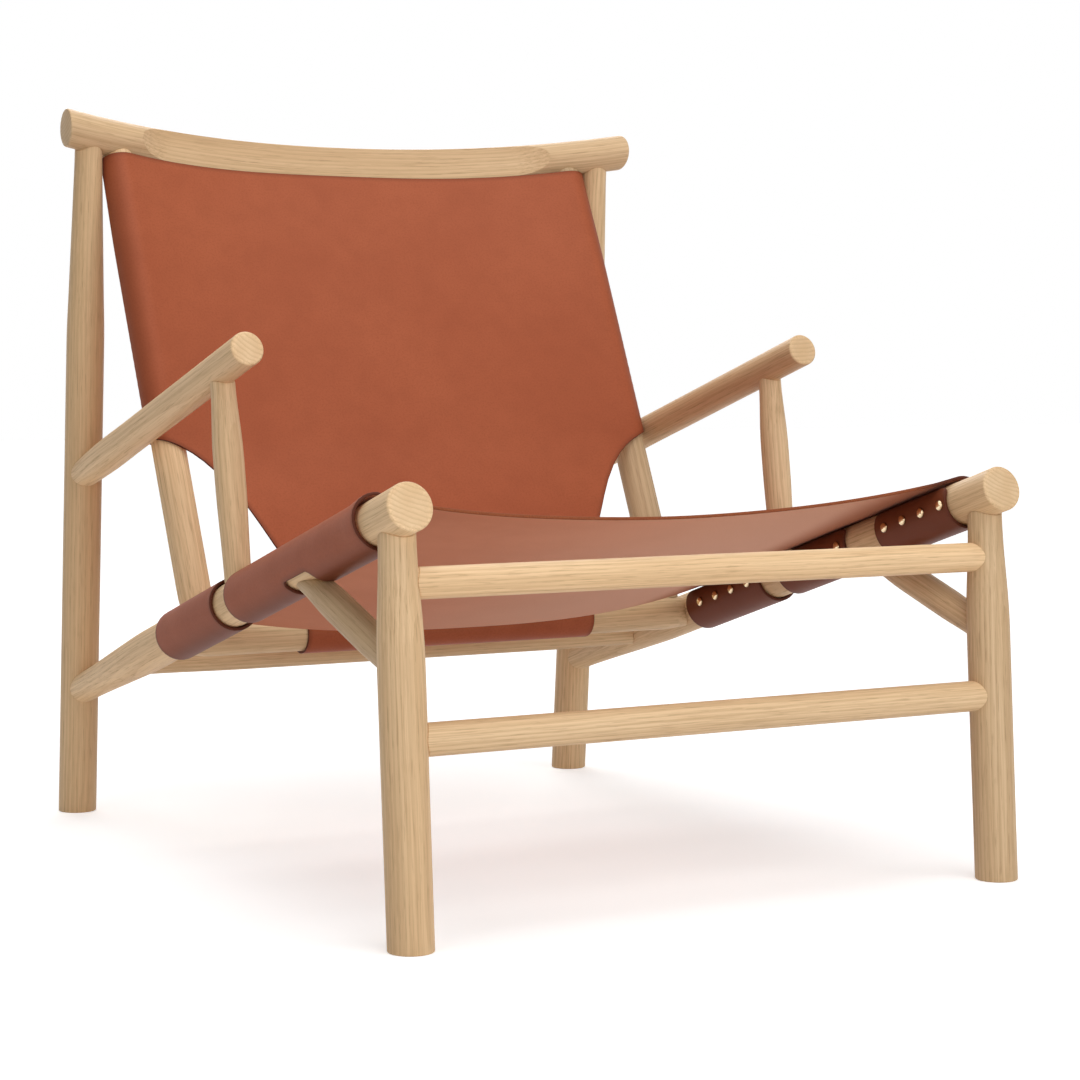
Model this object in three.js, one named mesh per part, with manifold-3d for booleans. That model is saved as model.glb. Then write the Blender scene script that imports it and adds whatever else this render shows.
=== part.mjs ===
import * as THREE from "three";
import { mergeVertices } from "three/addons/utils/BufferGeometryUtils.js";
import Module from "manifold-3d";

const wasm = await Module();
wasm.setup();

// All lengths are millimetres, +Z is up and the chair's front looks along -Y.
// A point's pair is (y, z) in the side plane that the piece lies in; "left" is the side of negative X.

// Side frames: the armrests stand a little wide of them and the back uprights inside them
const sideX = 330.5;
const armOffset = 1.6;
const uprightInset = 36.3;
const jointGap = 0.3;

// Side rail, which slopes down to the back
const railFront = [-424.9, 393.7];
const railSlopeDegrees = 16.75;
const railRadius = 22.5;
const railEndRadius = 17;
const railShoulderLength = 23;
const railTaperLength = 127;
const railFrontRadius = 22.8;

// Front leg
const frontFoot = [-423.2, 0];
const legLean = 0.06805;
const legRadius = 21.6;
const legFootRadius = 21.4;
const legTaperStartZ = 275;
const legTopRadius = 17.2;

// Rear post
const rearFoot = [426.8, 0];
const postLean = -0.08187;
const postRadius = 21.1;
const postFootRadius = 21.5;
const postTaperStartZ = 565;
const postTopRadius = 15.3;

// Armrest, its support and the leg brace
const armFront = [-80, 532.6];
const armSlope = -0.2962;
const armRadius = 17.4;
const armMiddleRadius = 16.2;
const armEndRadius = 15.2;
const armTaperShares = [0.38, 0.64];
const supportFootY = -50.6;
const supportTopY = -14.2;
const supportMiddleRadius = 15.8;
const supportFootRadius = 12.9;
const supportTopRadius = 12.3;
const supportTaperShares = [0.1, 0.52, 0.62, 0.93];
const braceRailY = -191.2;
const braceLegZ = 249.5;
const braceRadius = 15.7;
const braceRailRadius = 13.8;
const braceLegRadius = 14.6;
const braceTaperShares = [0.1, 0.3, 0.6, 0.84];

// Cross rails
const stretcherZs = [323.2, 185.2];
const stretcherRadius = 15;
const stretcherEndRadius = 12.8;
const lowerBackY = 250;
const lowerBackDrop = 1;
const lowerBackRadius = 15;
const lowerBackEndRadius = 13.8;
const longTaperShares = [0.035, 0.2, 0.8, 0.965];
const seatRearY = 134.6;
const seatRearRadius = 20;
const seatRearEndRadius = 17.6;
const seatRearTaperLength = 12;
const seatRearNeck = 23.5;

// Back upright
const backLeanDegrees = 24.3;
const uprightRadius = 18.4;
const uprightTaperStart = 450;
const uprightTopRadius = 16.8;
const uprightFootRadius = 16.6;
const uprightFootLength = 28;
const uprightFootTaper = 24;

// Bowed top rail
const topOverhang = 30.5;
const topEnd = [354, 779];
const topBow = 66;
const topDip = 24.5;
const topBowPower = 1.95;
const topDipPower = 2.22;
const topRadius = 21;
const topEndRounding = 2.2;
const topEndTiltDegrees = 3;
const topSkewLength = 45;
const scoopDistance = 9.5;
const scoopHalf = 238;
const scoopRunOutRadius = 46;
const scoopTiltDegrees = 13;
const scoopLeastDegrees = 9;

// Joinery
const tenonShare = 0.62;
const tenonPast = 7;
const tenonInside = 30;
const rimRounding = 2.2;
const boreReach = 65;
const groundDepth = 40;
const closeness = 1e-3;
const stickSegments = 20;
const tenonSegments = 12;

// Hides
const seatThickness = 3.2;
const seatLoose = 1.3;
const backThickness = 2.5;
const backLoose = 0.5;

// Seat hide: stations are distances along the side rail from its front face
const seatFront = 60;
const seatRearGap = 27.3;
const notchStart = 180;
const notchEnd = 238;
const slitStart = 368;
const slitEnd = 406;
const seatFrontCurve = 37;
const seatRearCurve = -6;
const seatEdgePower = 5;
const seatSag = { front: 3.4, rear: -9.1, belly: -8 };
const seatPower = { front: 1.8, rear: 2.6 };
const tabEndDegrees = -40;
const notchTopDegrees = 142;
const slitInset = 15;
const cornerRounding = 3;
const frontTabShares = [0.3, 0.65];
const rearTabShares = [0.35, 0.7];
const levelDegrees = 270;
const slingPasses = 12;

// Back hide: heights are measured along the back from the seat rear rail's axis
const backTopInset = 24.4;
const backTopRise = 7;
const backSagStart = 130;
const backSagTop = 50;
const backSagGrowth = 1.25;
const backPower = 2.6;
const hipHeight = 219.5;
const hipBulge = 6;
const hipBulgePower = 1.2;
const tongueHalf = 179.5;
const tongueTop = 50;
const wrapEndDegrees = 205;
const tongueEndDegrees = 200;
const hipOutline = [
  [50, 179.5],
  [93, 203.4],
  [118, 215.6],
  [140, 226.6],
  [160, 237.9],
  [180, 251.7],
  [195, 264.9],
  [205, 276.2],
  [213, 288.6],
];

// Studs
const studRadius = 5.4;
const studHeight = 3.2;
const studRim = 0.7;
const studSegments = 10;
const studLift = 0.35;
const tabStudCount = 4;
const tabStudInsets = { front: [8, 17], middle: [12, 18], rear: [21, 30] };
const backStudCount = 5;
const uprightStudStart = 250;
const uprightStudInset = 19;
const tongueStudInset = 39.5;
const uprightStudDegrees = 178;
const tongueStudDegrees = 180;

// Colours
const oak = new THREE.MeshStandardMaterial({ color: 0xd2b083, roughness: 0.5 });
const hide = new THREE.MeshStandardMaterial({ color: 0x9c5439, roughness: 0.55 });
const brass = new THREE.MeshStandardMaterial({ color: 0xd9b26a, roughness: 0.3, metalness: 1 });

const chair = new THREE.Group();
chair.name = "sling_lounge_chair";

const { clamp, degToRad: radians, lerp, smoothstep } = THREE.MathUtils;
const at = (x, [y, z]) => new THREE.Vector3(x, y, z);

// A closed geometry as a solid that can be joined and cut
function solid(geometry) {
  const bare = geometry.clone();
  bare.deleteAttribute("normal");
  bare.deleteAttribute("uv");
  const merged = mergeVertices(bare, closeness);
  return new wasm.Manifold(
    new wasm.Mesh({
      numProp: 3,
      vertProperties: merged.attributes.position.array,
      triVerts: new Uint32Array(merged.index.array),
    }),
  );
}

function geometryOf(body) {
  const mesh = body.getMesh();
  const geometry = new THREE.BufferGeometry();
  geometry.setAttribute("position", new THREE.BufferAttribute(mesh.vertProperties, mesh.numProp));
  geometry.setIndex(new THREE.BufferAttribute(mesh.triVerts, 1));
  geometry.computeVertexNormals();
  return geometry;
}

function place(name, geometry, material) {
  const mesh = new THREE.Mesh(geometry, material);
  mesh.name = name;
  chair.add(mesh);
  return mesh;
}

// A round body turned about the line from one point to another; the profile lists [distance, radius]
function turned(from, to, profile, segments = stickSegments) {
  const points = [new THREE.Vector2(0, profile[0][0])];
  for (const [distance, radius] of profile) points.push(new THREE.Vector2(radius, distance));
  points.push(new THREE.Vector2(0, profile[profile.length - 1][0]));
  const geometry = new THREE.LatheGeometry(points, segments);
  const direction = to.clone().sub(from).normalize();
  geometry.applyQuaternion(
    new THREE.Quaternion().setFromUnitVectors(new THREE.Vector3(0, 1, 0), direction),
  );
  geometry.translate(from.x, from.y, from.z);
  return solid(geometry);
}

function grown(profile, gap) {
  const first = profile[0];
  const last = profile[profile.length - 1];
  return [
    [first[0] - gap, first[1] + gap],
    ...profile.map(([distance, radius]) => [distance, radius + gap]),
    [last[0] + gap, last[1] + gap],
  ];
}

const sticks = new Map();

function stick(name, from, to, profile) {
  const made = {
    from,
    direction: to.clone().sub(from).normalize(),
    body: turned(from, to, profile),
    envelope: turned(from, to, grown(profile, jointGap)),
  };
  sticks.set(name, made);
  return made;
}

// A tapered stick: its radii at both ends and in the middle, and the shares of its length where tapers turn
function tapered(name, from, to, radii, taperShares) {
  const length = from.distanceTo(to);
  return stick(name, from, to, [
    [0, radii.start],
    [length * taperShares[0], radii.start],
    [length * taperShares[1], radii.middle],
    [length * taperShares[2], radii.middle],
    [length * taperShares[3], radii.end],
    [length, radii.end],
  ]);
}

// Scribes the end of one stick to the round side of its host and seats its tenon in a bored mortise
function joinEnd(guest, host, point, outward, endRadius) {
  const tenonRadius = endRadius * tenonShare;
  const backFrom = point.clone().addScaledVector(outward, -tenonInside - topRadius);
  const tenonEnd = point.clone().addScaledVector(outward, tenonPast);
  const tenonLength = backFrom.distanceTo(tenonEnd);
  const boreFrom = point.clone().addScaledVector(outward, -boreReach);
  const boreEnd = tenonEnd.clone().addScaledVector(outward, jointGap);
  const boreLength = boreFrom.distanceTo(boreEnd);
  const boreRadius = tenonRadius + jointGap;
  const tenon = turned(backFrom, tenonEnd, [[0, tenonRadius], [tenonLength, tenonRadius]], tenonSegments);
  const bore = turned(boreFrom, boreEnd, [[0, boreRadius], [boreLength, boreRadius]], tenonSegments);
  guest.body = guest.body.subtract(host.envelope).add(tenon);
  host.body = host.body.subtract(bore);
}

const backward = (guest) => guest.direction.clone().negate();

// The rim of a free end, rounded over
function rimProfile(radius) {
  const steps = [0, 0.35, 1];
  return steps.map((share) => [
    rimRounding * share,
    radius - rimRounding * (1 - Math.sin(Math.acos(1 - share))),
  ]);
}

// Where the sticks of a side frame meet: each point lies on the axes of both
const slope = radians(railSlopeDegrees);
const armX = sideX + armOffset;
const uprightX = sideX - uprightInset;
const topHalf = sideX + topOverhang;
const railZAt = (y) => railFront[1] - (y - railFront[0]) * Math.tan(slope);
const armZAt = (y) => armFront[1] + armSlope * (y - armFront[0]);
const legAt = (z) => [frontFoot[0] + legLean * z, z];
const postAt = (z) => [rearFoot[0] + postLean * z, z];
const legTopZ = railZAt(frontFoot[0]) / (1 + legLean * Math.tan(slope));
const railEndZ = railZAt(rearFoot[0]) / (1 + postLean * Math.tan(slope));
const railLength = (postAt(railEndZ)[0] - railFront[0]) / Math.cos(slope);
const armEndZ = armZAt(rearFoot[0]) / (1 - postLean * armSlope);
const seatRearPoint = [seatRearY, railZAt(seatRearY)];
const seatRear = (seatRearY - railFront[0]) / Math.cos(slope) - seatRearGap;

// Everything below the floor is cut away, so that each foot stands on a flat face
const groundSize = (sideX + rearFoot[0]) * 2;
const ground = new THREE.BoxGeometry(groundSize, groundSize, groundDepth);
ground.translate(0, 0, -groundDepth / 2);
const belowFloor = solid(ground);

const railPoint = (x, u) => at(x, [railFront[0] + u * Math.cos(slope), railFront[1] - u * Math.sin(slope)]);
const railUp = new THREE.Vector3(0, Math.sin(slope), Math.cos(slope));
const lean = radians(backLeanDegrees);
const upRight = new THREE.Vector3(0, Math.sin(lean), Math.cos(lean));
const backNormal = new THREE.Vector3(0, -Math.cos(lean), Math.sin(lean));
const backPoint = (x, s) => at(x, seatRearPoint).addScaledVector(upRight, s);

// Bowed top rail: the centre line, and sections square to it with the scooped flat
function topCentre(x) {
  const outward = Math.abs(x) / topHalf;
  const back = topBow * (1 - Math.pow(outward, topBowPower));
  const down = topDip * (1 - Math.pow(outward, topDipPower));
  return at(x, [topEnd[0] + back, topEnd[1] - down]);
}

const postTopZ = topCentre(sideX).z;
const uprightLength = topCentre(uprightX).sub(backPoint(uprightX, 0)).dot(upRight);

function uprightRadiusAt(s) {
  const share = clamp((s - uprightTaperStart) / (uprightLength - uprightTaperStart), 0, 1);
  return lerp(uprightRadius, uprightTopRadius, share);
}

function topFrame(x) {
  const probe = topHalf * closeness;
  const tangent = topCentre(x + probe).sub(topCentre(x - probe)).normalize();
  const tilt = radians(scoopTiltDegrees);
  const face = new THREE.Vector3(0, -Math.cos(tilt), Math.sin(tilt));
  face.addScaledVector(tangent, -face.dot(tangent)).normalize();
  return { face, tangent, across: new THREE.Vector3().crossVectors(tangent, face) };
}

// Slides a ring's point along the bar, so that the ends are sawn almost square to the chair's width
function skewed(point, x, tangent) {
  const share = clamp((Math.abs(x) - topHalf) / topSkewLength + 1, 0, 1);
  const tilt = radians(topEndTiltDegrees);
  const saw = new THREE.Vector3(Math.sign(x) * Math.cos(tilt), Math.sin(tilt), 0);
  const offset = point.clone().sub(topCentre(x)).dot(saw) / tangent.dot(saw);
  return share ? point.addScaledVector(tangent, -offset * share) : point;
}

const scoopDepth = topRadius - scoopDistance;
const scoopRunOut = Math.sqrt(2 * scoopRunOutRadius * scoopDepth - scoopDepth * scoopDepth);
const scoopEnd = scoopHalf + scoopRunOut;

function faceDistance(x) {
  const past = Math.max(Math.abs(x) - scoopHalf, 0);
  if (past >= scoopRunOut) return topRadius;
  return scoopDistance + scoopRunOutRadius - Math.sqrt(scoopRunOutRadius ** 2 - past ** 2);
}

function topRing(x, radius, gap) {
  const faceSteps = 6;
  const backSteps = 16;
  const distance = gap ? topRadius : faceDistance(x);
  const half = Math.max(Math.acos(Math.min(distance / topRadius, 1)), radians(scoopLeastDegrees));
  const { face, tangent, across } = topFrame(x);
  const ring = [];
  for (let k = 0; k < faceSteps + backSteps; k += 1) {
    const onFace = k < faceSteps;
    const share = onFace ? k / faceSteps : (k - faceSteps) / backSteps;
    const chord = Math.tan(half) * (2 * share - 1);
    const angle = onFace ? Math.atan(chord) : half + (2 * Math.PI - 2 * half) * share;
    const reach = onFace ? Math.min(radius, distance / Math.cos(angle)) : radius;
    const point = topCentre(x);
    point.addScaledVector(face, (reach + gap) * Math.cos(angle));
    point.addScaledVector(across, (reach + gap) * Math.sin(angle));
    ring.push(skewed(point, x, tangent));
  }
  return ring;
}

// A closed body through rings of equally many points
function loft(rings) {
  const count = rings[0].length;
  const positions = rings.flat().flatMap((point) => point.toArray());
  const indices = [];
  for (let i = 0; i + 1 < rings.length; i += 1) {
    for (let k = 0; k < count; k += 1) {
      const next = (k + 1) % count;
      const a = i * count + k;
      const b = i * count + next;
      const c = (i + 1) * count + next;
      const d = (i + 1) * count + k;
      indices.push(a, b, c, a, c, d);
    }
  }
  for (const [ring, first, flip] of [
    [rings[0], 0, true],
    [rings[rings.length - 1], (rings.length - 1) * count, false],
  ]) {
    const middle = ring.reduce((sum, point) => sum.add(point), new THREE.Vector3()).divideScalar(count);
    const centre = positions.length / 3;
    positions.push(...middle.toArray());
    for (let k = 0; k < count; k += 1) {
      const a = first + k;
      const b = first + ((k + 1) % count);
      indices.push(...(flip ? [centre, b, a] : [centre, a, b]));
    }
  }
  const geometry = new THREE.BufferGeometry();
  geometry.setAttribute("position", new THREE.Float32BufferAttribute(positions, 3));
  geometry.setIndex(indices);
  return new wasm.Manifold(
    new wasm.Mesh({
      numProp: 3,
      vertProperties: geometry.attributes.position.array,
      triVerts: new Uint32Array(geometry.index.array),
    }),
  );
}

function topStations() {
  const roundingAngles = [0, 45, 90].map(radians);
  const outerShares = [0.2, 0.47, 0.74];
  const runOutShares = [0, 0.3, 0.65, 1];
  const innerShares = [0.2, 0.4, 0.6, 0.8];
  const side = [];
  for (const angle of roundingAngles) {
    side.push({
      x: topHalf - topEndRounding * (1 - Math.cos(angle)),
      radius: topRadius - topEndRounding * (1 - Math.sin(angle)),
    });
  }
  const straightEnd = topHalf - topEndRounding;
  for (const share of outerShares) side.push({ x: lerp(straightEnd, scoopEnd, share), radius: topRadius });
  for (const share of runOutShares) side.push({ x: lerp(scoopEnd, scoopHalf, share), radius: topRadius });
  for (const share of innerShares) side.push({ x: lerp(scoopHalf, 0, share), radius: topRadius });
  const mirrored = side.map(({ x, radius }) => ({ x: -x, radius }));
  return [...mirrored, { x: 0, radius: topRadius }, ...side.reverse()];
}

const topRail = {
  body: loft(topStations().map(({ x, radius }) => topRing(x, radius, 0))),
  envelope: loft(topStations().map(({ x, radius }) => topRing(x, radius, jointGap))),
};
sticks.set("top_rail", topRail);

// The sticks of each side
const sides = [
  ["left", -1],
  ["right", 1],
];

for (const [side, sign] of sides) {
  const x = sign * sideX;
  const railStart = railPoint(x, 0);
  const railEnd = railPoint(x, railLength);
  const rail = stick(`${side}_side_rail`, railStart, railEnd, [
    ...rimProfile(railFrontRadius),
    [railLength - railShoulderLength - railTaperLength, railRadius],
    [railLength - railShoulderLength - railTaperLength / 2, railRadius - rimRounding / 2],
    [railLength - railShoulderLength, railEndRadius],
    [railLength, railEndRadius],
  ]);

  const legFootPoint = at(x, legAt(-groundDepth / 2));
  const legTop = at(x, legAt(legTopZ));
  const legLength = legFootPoint.distanceTo(legTop);
  const leg = stick(`${side}_front_leg`, legFootPoint, legTop, [
    [0, legFootRadius],
    [groundDepth / 2, legFootRadius],
    [legTaperStartZ, legRadius],
    [legLength - railRadius, legTopRadius],
    [legLength, legTopRadius],
  ]);
  leg.body = leg.body.subtract(belowFloor);

  const postFoot = at(x, postAt(-groundDepth / 2));
  const postTop = at(x, postAt(postTopZ));
  const postLength = postFoot.distanceTo(postTop);
  const post = stick(`${side}_rear_post`, postFoot, postTop, [
    [0, postFootRadius],
    [groundDepth / 2, postFootRadius],
    [postTaperStartZ, postRadius],
    [postLength - topRadius, postTopRadius],
    [postLength, postTopRadius],
  ]);
  post.body = post.body.subtract(belowFloor);

  const armStart = at(sign * armX, armFront);
  const armEnd = at(sign * armX, postAt(armEndZ));
  const armLength = armStart.distanceTo(armEnd);
  const arm = stick(`${side}_armrest`, armStart, armEnd, [
    ...rimProfile(armRadius),
    [armLength * armTaperShares[0], armRadius],
    [armLength * armTaperShares[1], armMiddleRadius],
    [armLength - postRadius, armEndRadius],
    [armLength, armEndRadius],
  ]);

  const supportStart = at(x, [supportFootY, railZAt(supportFootY)]);
  const supportEnd = at(sign * armX, [supportTopY, armZAt(supportTopY)]);
  const support = tapered(
    `${side}_arm_support`,
    supportStart,
    supportEnd,
    { start: supportFootRadius, middle: supportMiddleRadius, end: supportTopRadius },
    supportTaperShares,
  );

  const braceStart = at(x, legAt(braceLegZ));
  const braceEnd = at(x, [braceRailY, railZAt(braceRailY)]);
  const brace = tapered(
    `${side}_leg_brace`,
    braceStart,
    braceEnd,
    { start: braceLegRadius, middle: braceRadius, end: braceRailRadius },
    braceTaperShares,
  );

  const uprightFoot = backPoint(sign * uprightX, 0);
  const uprightEnd = backPoint(sign * uprightX, uprightLength);
  const upright = stick(`${side}_back_upright`, uprightFoot, uprightEnd, [
    [0, uprightFootRadius],
    [uprightFootLength, uprightFootRadius],
    [uprightFootLength + uprightFootTaper, uprightRadius],
    [uprightTaperStart, uprightRadius],
    [uprightLength - topRadius, uprightTopRadius],
    [uprightLength, uprightTopRadius],
  ]);

  joinEnd(leg, rail, legTop, leg.direction, legTopRadius);
  joinEnd(rail, post, railEnd, rail.direction, railEndRadius);
  joinEnd(arm, post, armEnd, arm.direction, armEndRadius);
  joinEnd(support, rail, supportStart, backward(support), supportFootRadius);
  joinEnd(support, arm, supportEnd, support.direction, supportTopRadius);
  joinEnd(brace, leg, braceStart, backward(brace), braceLegRadius);
  joinEnd(brace, rail, braceEnd, brace.direction, braceRailRadius);
  joinEnd(post, topRail, postTop, post.direction, postTopRadius);
  joinEnd(upright, topRail, uprightEnd, upright.direction, uprightTopRadius);
}

// The sticks that run across, each between two hosts
function crossStick(name, yz, radii, taperShares, host) {
  const from = at(-sideX, yz);
  const to = at(sideX, yz);
  const bothEnds = { start: radii.end, middle: radii.middle, end: radii.end };
  const made = tapered(name, from, to, bothEnds, taperShares);
  joinEnd(made, sticks.get(`left_${host}`), from, backward(made), radii.end);
  joinEnd(made, sticks.get(`right_${host}`), to, made.direction, radii.end);
  return made;
}

stretcherZs.forEach((z, k) => {
  const name = k ? "lower_front_stretcher" : "upper_front_stretcher";
  const radii = { middle: stretcherRadius, end: stretcherEndRadius };
  crossStick(name, legAt(z), radii, longTaperShares, "front_leg");
});

crossStick(
  "lower_back_rail",
  [lowerBackY, railZAt(lowerBackY) - lowerBackDrop],
  { middle: lowerBackRadius, end: lowerBackEndRadius },
  longTaperShares,
  "side_rail",
);

const neckShare = seatRearNeck / (2 * sideX);
const bulgeShare = (seatRearNeck + seatRearTaperLength) / (2 * sideX);
const seatRearRail = crossStick(
  "seat_rear_rail",
  seatRearPoint,
  { middle: seatRearRadius, end: seatRearEndRadius },
  [neckShare, bulgeShare, 1 - bulgeShare, 1 - neckShare],
  "side_rail",
);
for (const [side, sign] of sides) {
  const upright = sticks.get(`${side}_back_upright`);
  joinEnd(upright, seatRearRail, backPoint(sign * uprightX, 0), backward(upright), uprightFootRadius);
}

for (const [name, { body }] of sticks) place(name, geometryOf(body), oak);

// A slung section, from the wrapped end round its stick to the middle of the span.
// A point is [inward, out]: how far inward of the axis it lies, and how far to the outer side
function slungSection({ radius, span, centre, power, startDegrees }) {
  let leave = 0;
  for (let pass = 0; pass < slingPasses; pass += 1) {
    const rise = radius * Math.cos(leave) - centre;
    leave = Math.atan((power * rise) / (span - radius * Math.sin(leave)));
  }
  const inwardStart = radius * Math.sin(leave);
  const outStart = radius * Math.cos(leave);
  const start = radians(startDegrees);
  const end = radians(levelDegrees) + leave;
  const onStick = (angle) => ({
    point: [radius * Math.cos(angle), -radius * Math.sin(angle)],
    normal: [Math.cos(angle), -Math.sin(angle)],
  });
  const onSpan = (inward) => {
    const share = Math.max((span - inward) / (span - inwardStart), 0);
    const steep = Math.tan(leave) * Math.pow(share, power - 1);
    const size = Math.hypot(steep, 1);
    return {
      point: [inward, centre + (outStart - centre) * Math.pow(share, power)],
      normal: [steep / size, 1 / size],
    };
  };
  return { start, end, inwardStart, onStick, onSpan };
}

// A sheet from rows of points with normals; a cell that isn't kept is left open
function shell(rows, thickness, keeps) {
  const across = rows[0].length;
  const positions = [];
  for (const row of rows) {
    for (const { point, normal } of row) {
      positions.push(...point.clone().addScaledVector(normal, thickness / 2).toArray());
      positions.push(...point.clone().addScaledVector(normal, -thickness / 2).toArray());
    }
  }
  const outer = (i, j) => 2 * (i * across + j);
  const inner = (i, j) => outer(i, j) + 1;
  const kept = (i, j) => i >= 0 && j >= 0 && i + 1 < rows.length && j + 1 < across && keeps(i, j);
  const indices = [];
  const quad = (a, b, c, d) => indices.push(a, b, c, a, c, d);
  for (let i = 0; i + 1 < rows.length; i += 1) {
    for (let j = 0; j + 1 < across; j += 1) {
      if (!kept(i, j)) continue;
      quad(outer(i, j), outer(i, j + 1), outer(i + 1, j + 1), outer(i + 1, j));
      quad(inner(i, j), inner(i + 1, j), inner(i + 1, j + 1), inner(i, j + 1));
      if (!kept(i - 1, j)) quad(outer(i, j), inner(i, j), inner(i, j + 1), outer(i, j + 1));
      if (!kept(i + 1, j)) {
        quad(outer(i + 1, j + 1), inner(i + 1, j + 1), inner(i + 1, j), outer(i + 1, j));
      }
      if (!kept(i, j - 1)) quad(outer(i + 1, j), inner(i + 1, j), inner(i, j), outer(i, j));
      if (!kept(i, j + 1)) quad(outer(i, j + 1), inner(i, j + 1), inner(i + 1, j + 1), outer(i + 1, j + 1));
    }
  }
  const geometry = new THREE.BufferGeometry();
  geometry.setAttribute("position", new THREE.Float32BufferAttribute(positions, 3));
  geometry.setIndex(indices);
  const body = new wasm.Manifold(
    new wasm.Mesh({
      numProp: 3,
      vertProperties: geometry.attributes.position.array,
      triVerts: new Uint32Array(geometry.index.array),
    }),
  );
  return geometryOf(body);
}

// Seat hide
const seatMiddle = railRadius + seatLoose + seatThickness / 2;
const seatLength = seatRear - seatFront;
const lowWrapSteps = 9;
const highWrapSteps = 7;
const seatSpanShares = [0.07, 0.15, 0.27, 0.42, 0.6, 0.8, 1];

function seatSection(share) {
  return slungSection({
    radius: seatMiddle,
    span: sideX,
    centre: lerp(seatSag.front, seatSag.rear, share) + seatSag.belly * Math.sin(Math.PI * share),
    power: lerp(seatPower.front, seatPower.rear, share),
    startDegrees: tabEndDegrees,
  });
}

function seatHalfRow(station, row) {
  const share = (station - seatFront) / seatLength;
  const section = seatSection(share);
  const notchTop = radians(notchTopDegrees);
  const cells = [];
  for (let k = 0; k < lowWrapSteps; k += 1) {
    cells.push(section.onStick(lerp(section.start, notchTop, k / lowWrapSteps)));
  }
  for (let k = 0; k <= highWrapSteps; k += 1) {
    cells.push(section.onStick(lerp(notchTop, section.end, k / highWrapSteps)));
  }
  cells.push(section.onSpan(slitInset));
  for (const spanShare of seatSpanShares) {
    cells.push(section.onSpan(lerp(slitInset, sideX, spanShare)));
  }
  return cells.map((cell, j) => {
    const outward = clamp(1 - cell.point[0] / sideX, 0, 1);
    const bend = 1 - Math.pow(outward, seatEdgePower);
    const frontFade = Math.max(1 - (station - seatFront) / (notchStart - seatFront), 0);
    const rearFade = Math.max(1 - (seatRear - station) / (seatRear - slitEnd), 0);
    const curve = j > lowWrapSteps + highWrapSteps ? bend : 0;
    const corner = cornerShift(row, j);
    const shift = curve * (seatFrontCurve * frontFade + seatRearCurve * rearFade) + corner;
    return { ...cell, station: station + shift };
  });
}

const seatStations = [
  seatFront,
  ...frontTabShares.map((share) => lerp(seatFront, notchStart, share)),
  notchStart,
  notchEnd,
  (notchEnd + slitStart) / 2,
  slitStart,
  slitEnd,
  ...rearTabShares.map((share) => lerp(slitEnd, seatRear, share)),
  seatRear,
];
const notchRow = seatStations.indexOf(notchStart);
const slitRow = seatStations.indexOf(slitStart);

// The inner corners of the notch and the slit are eased
function cornerShift(row, column) {
  const slitColumn = lowWrapSteps + highWrapSteps + 1;
  if (column === lowWrapSteps && row === notchRow) return cornerRounding;
  if (column === lowWrapSteps && row === notchRow + 1) return -cornerRounding;
  if (column === slitColumn && row === slitRow) return cornerRounding;
  if (column === slitColumn && row === slitRow + 1) return -cornerRounding;
  return 0;
}

function mirroredRow(half, toPoint, toNormal) {
  const left = half.map((cell) => ({ point: toPoint(cell, -1), normal: toNormal(cell, -1) }));
  const right = half.map((cell) => ({ point: toPoint(cell, 1), normal: toNormal(cell, 1) }));
  return [...left, ...right.slice(0, -1).reverse()];
}

const seatPoint = ({ point, station }, sign) =>
  railPoint(sign * (sideX - point[0]), station).addScaledVector(railUp, point[1]);
const seatNormal = ({ normal }, sign) =>
  new THREE.Vector3(-sign * normal[0], 0, 0).addScaledVector(railUp, normal[1]);
const seatRows = seatStations.map((station, row) =>
  mirroredRow(seatHalfRow(station, row), seatPoint, seatNormal),
);
const seatCells = seatRows[0].length - 1;

function keepsSeatCell(i, j) {
  const column = Math.min(j, seatCells - 1 - j);
  if (i === notchRow) return column >= lowWrapSteps;
  if (i === slitRow) return column >= lowWrapSteps + highWrapSteps + 1;
  return true;
}
place("seat_hide", shell(seatRows, seatThickness, keepsSeatCell), hide);

// Back hide
const backTop = uprightLength - backTopInset;
const backLift = backLoose + backThickness / 2;
const backWrapSteps = 10;
const backSpanShares = [0, 0.1, 0.23, 0.39, 0.57, 0.78, 1];
const lowerShares = [0, 0.2, 0.4, 0.56, 0.75, 0.88];
const upperShares = [0, 0.1, 0.22, 0.36, 0.5, 0.64, 0.78, 0.9, 1];
const tongueSteps = 10;

function backSag(s) {
  const share = Math.max((s - backSagStart) / (backTop - backSagStart), 0);
  return backSagTop * Math.pow(share, backSagGrowth);
}

function backSection(s) {
  const radius = uprightRadiusAt(s) + backLift;
  return slungSection({
    radius,
    span: uprightX,
    centre: radius - backSag(s),
    power: backPower,
    startDegrees: levelDegrees - wrapEndDegrees,
  });
}

function hipHalf(s) {
  const last = hipOutline[hipOutline.length - 1];
  if (s <= hipOutline[0][0]) return hipOutline[0][1];
  if (s >= last[0]) return last[1];
  const next = hipOutline.findIndex(([height]) => height > s);
  const [low, high] = [hipOutline[next - 1], hipOutline[next]];
  return lerp(low[1], high[1], (s - low[0]) / (high[0] - low[0]));
}

const railLift = seatRearRadius + backLift;

// Between the rear rail and the hips the hide stands a little proud of the line through both
function frontOffset(s) {
  const unsettled = 1 - smoothstep(s, 0, hipHeight);
  const bulge = Math.sin((Math.PI * clamp(s, 0, hipHeight)) / hipHeight);
  return unsettled * (railLift - uprightRadius - backLift) + hipBulge * Math.pow(bulge, hipBulgePower);
}

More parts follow.
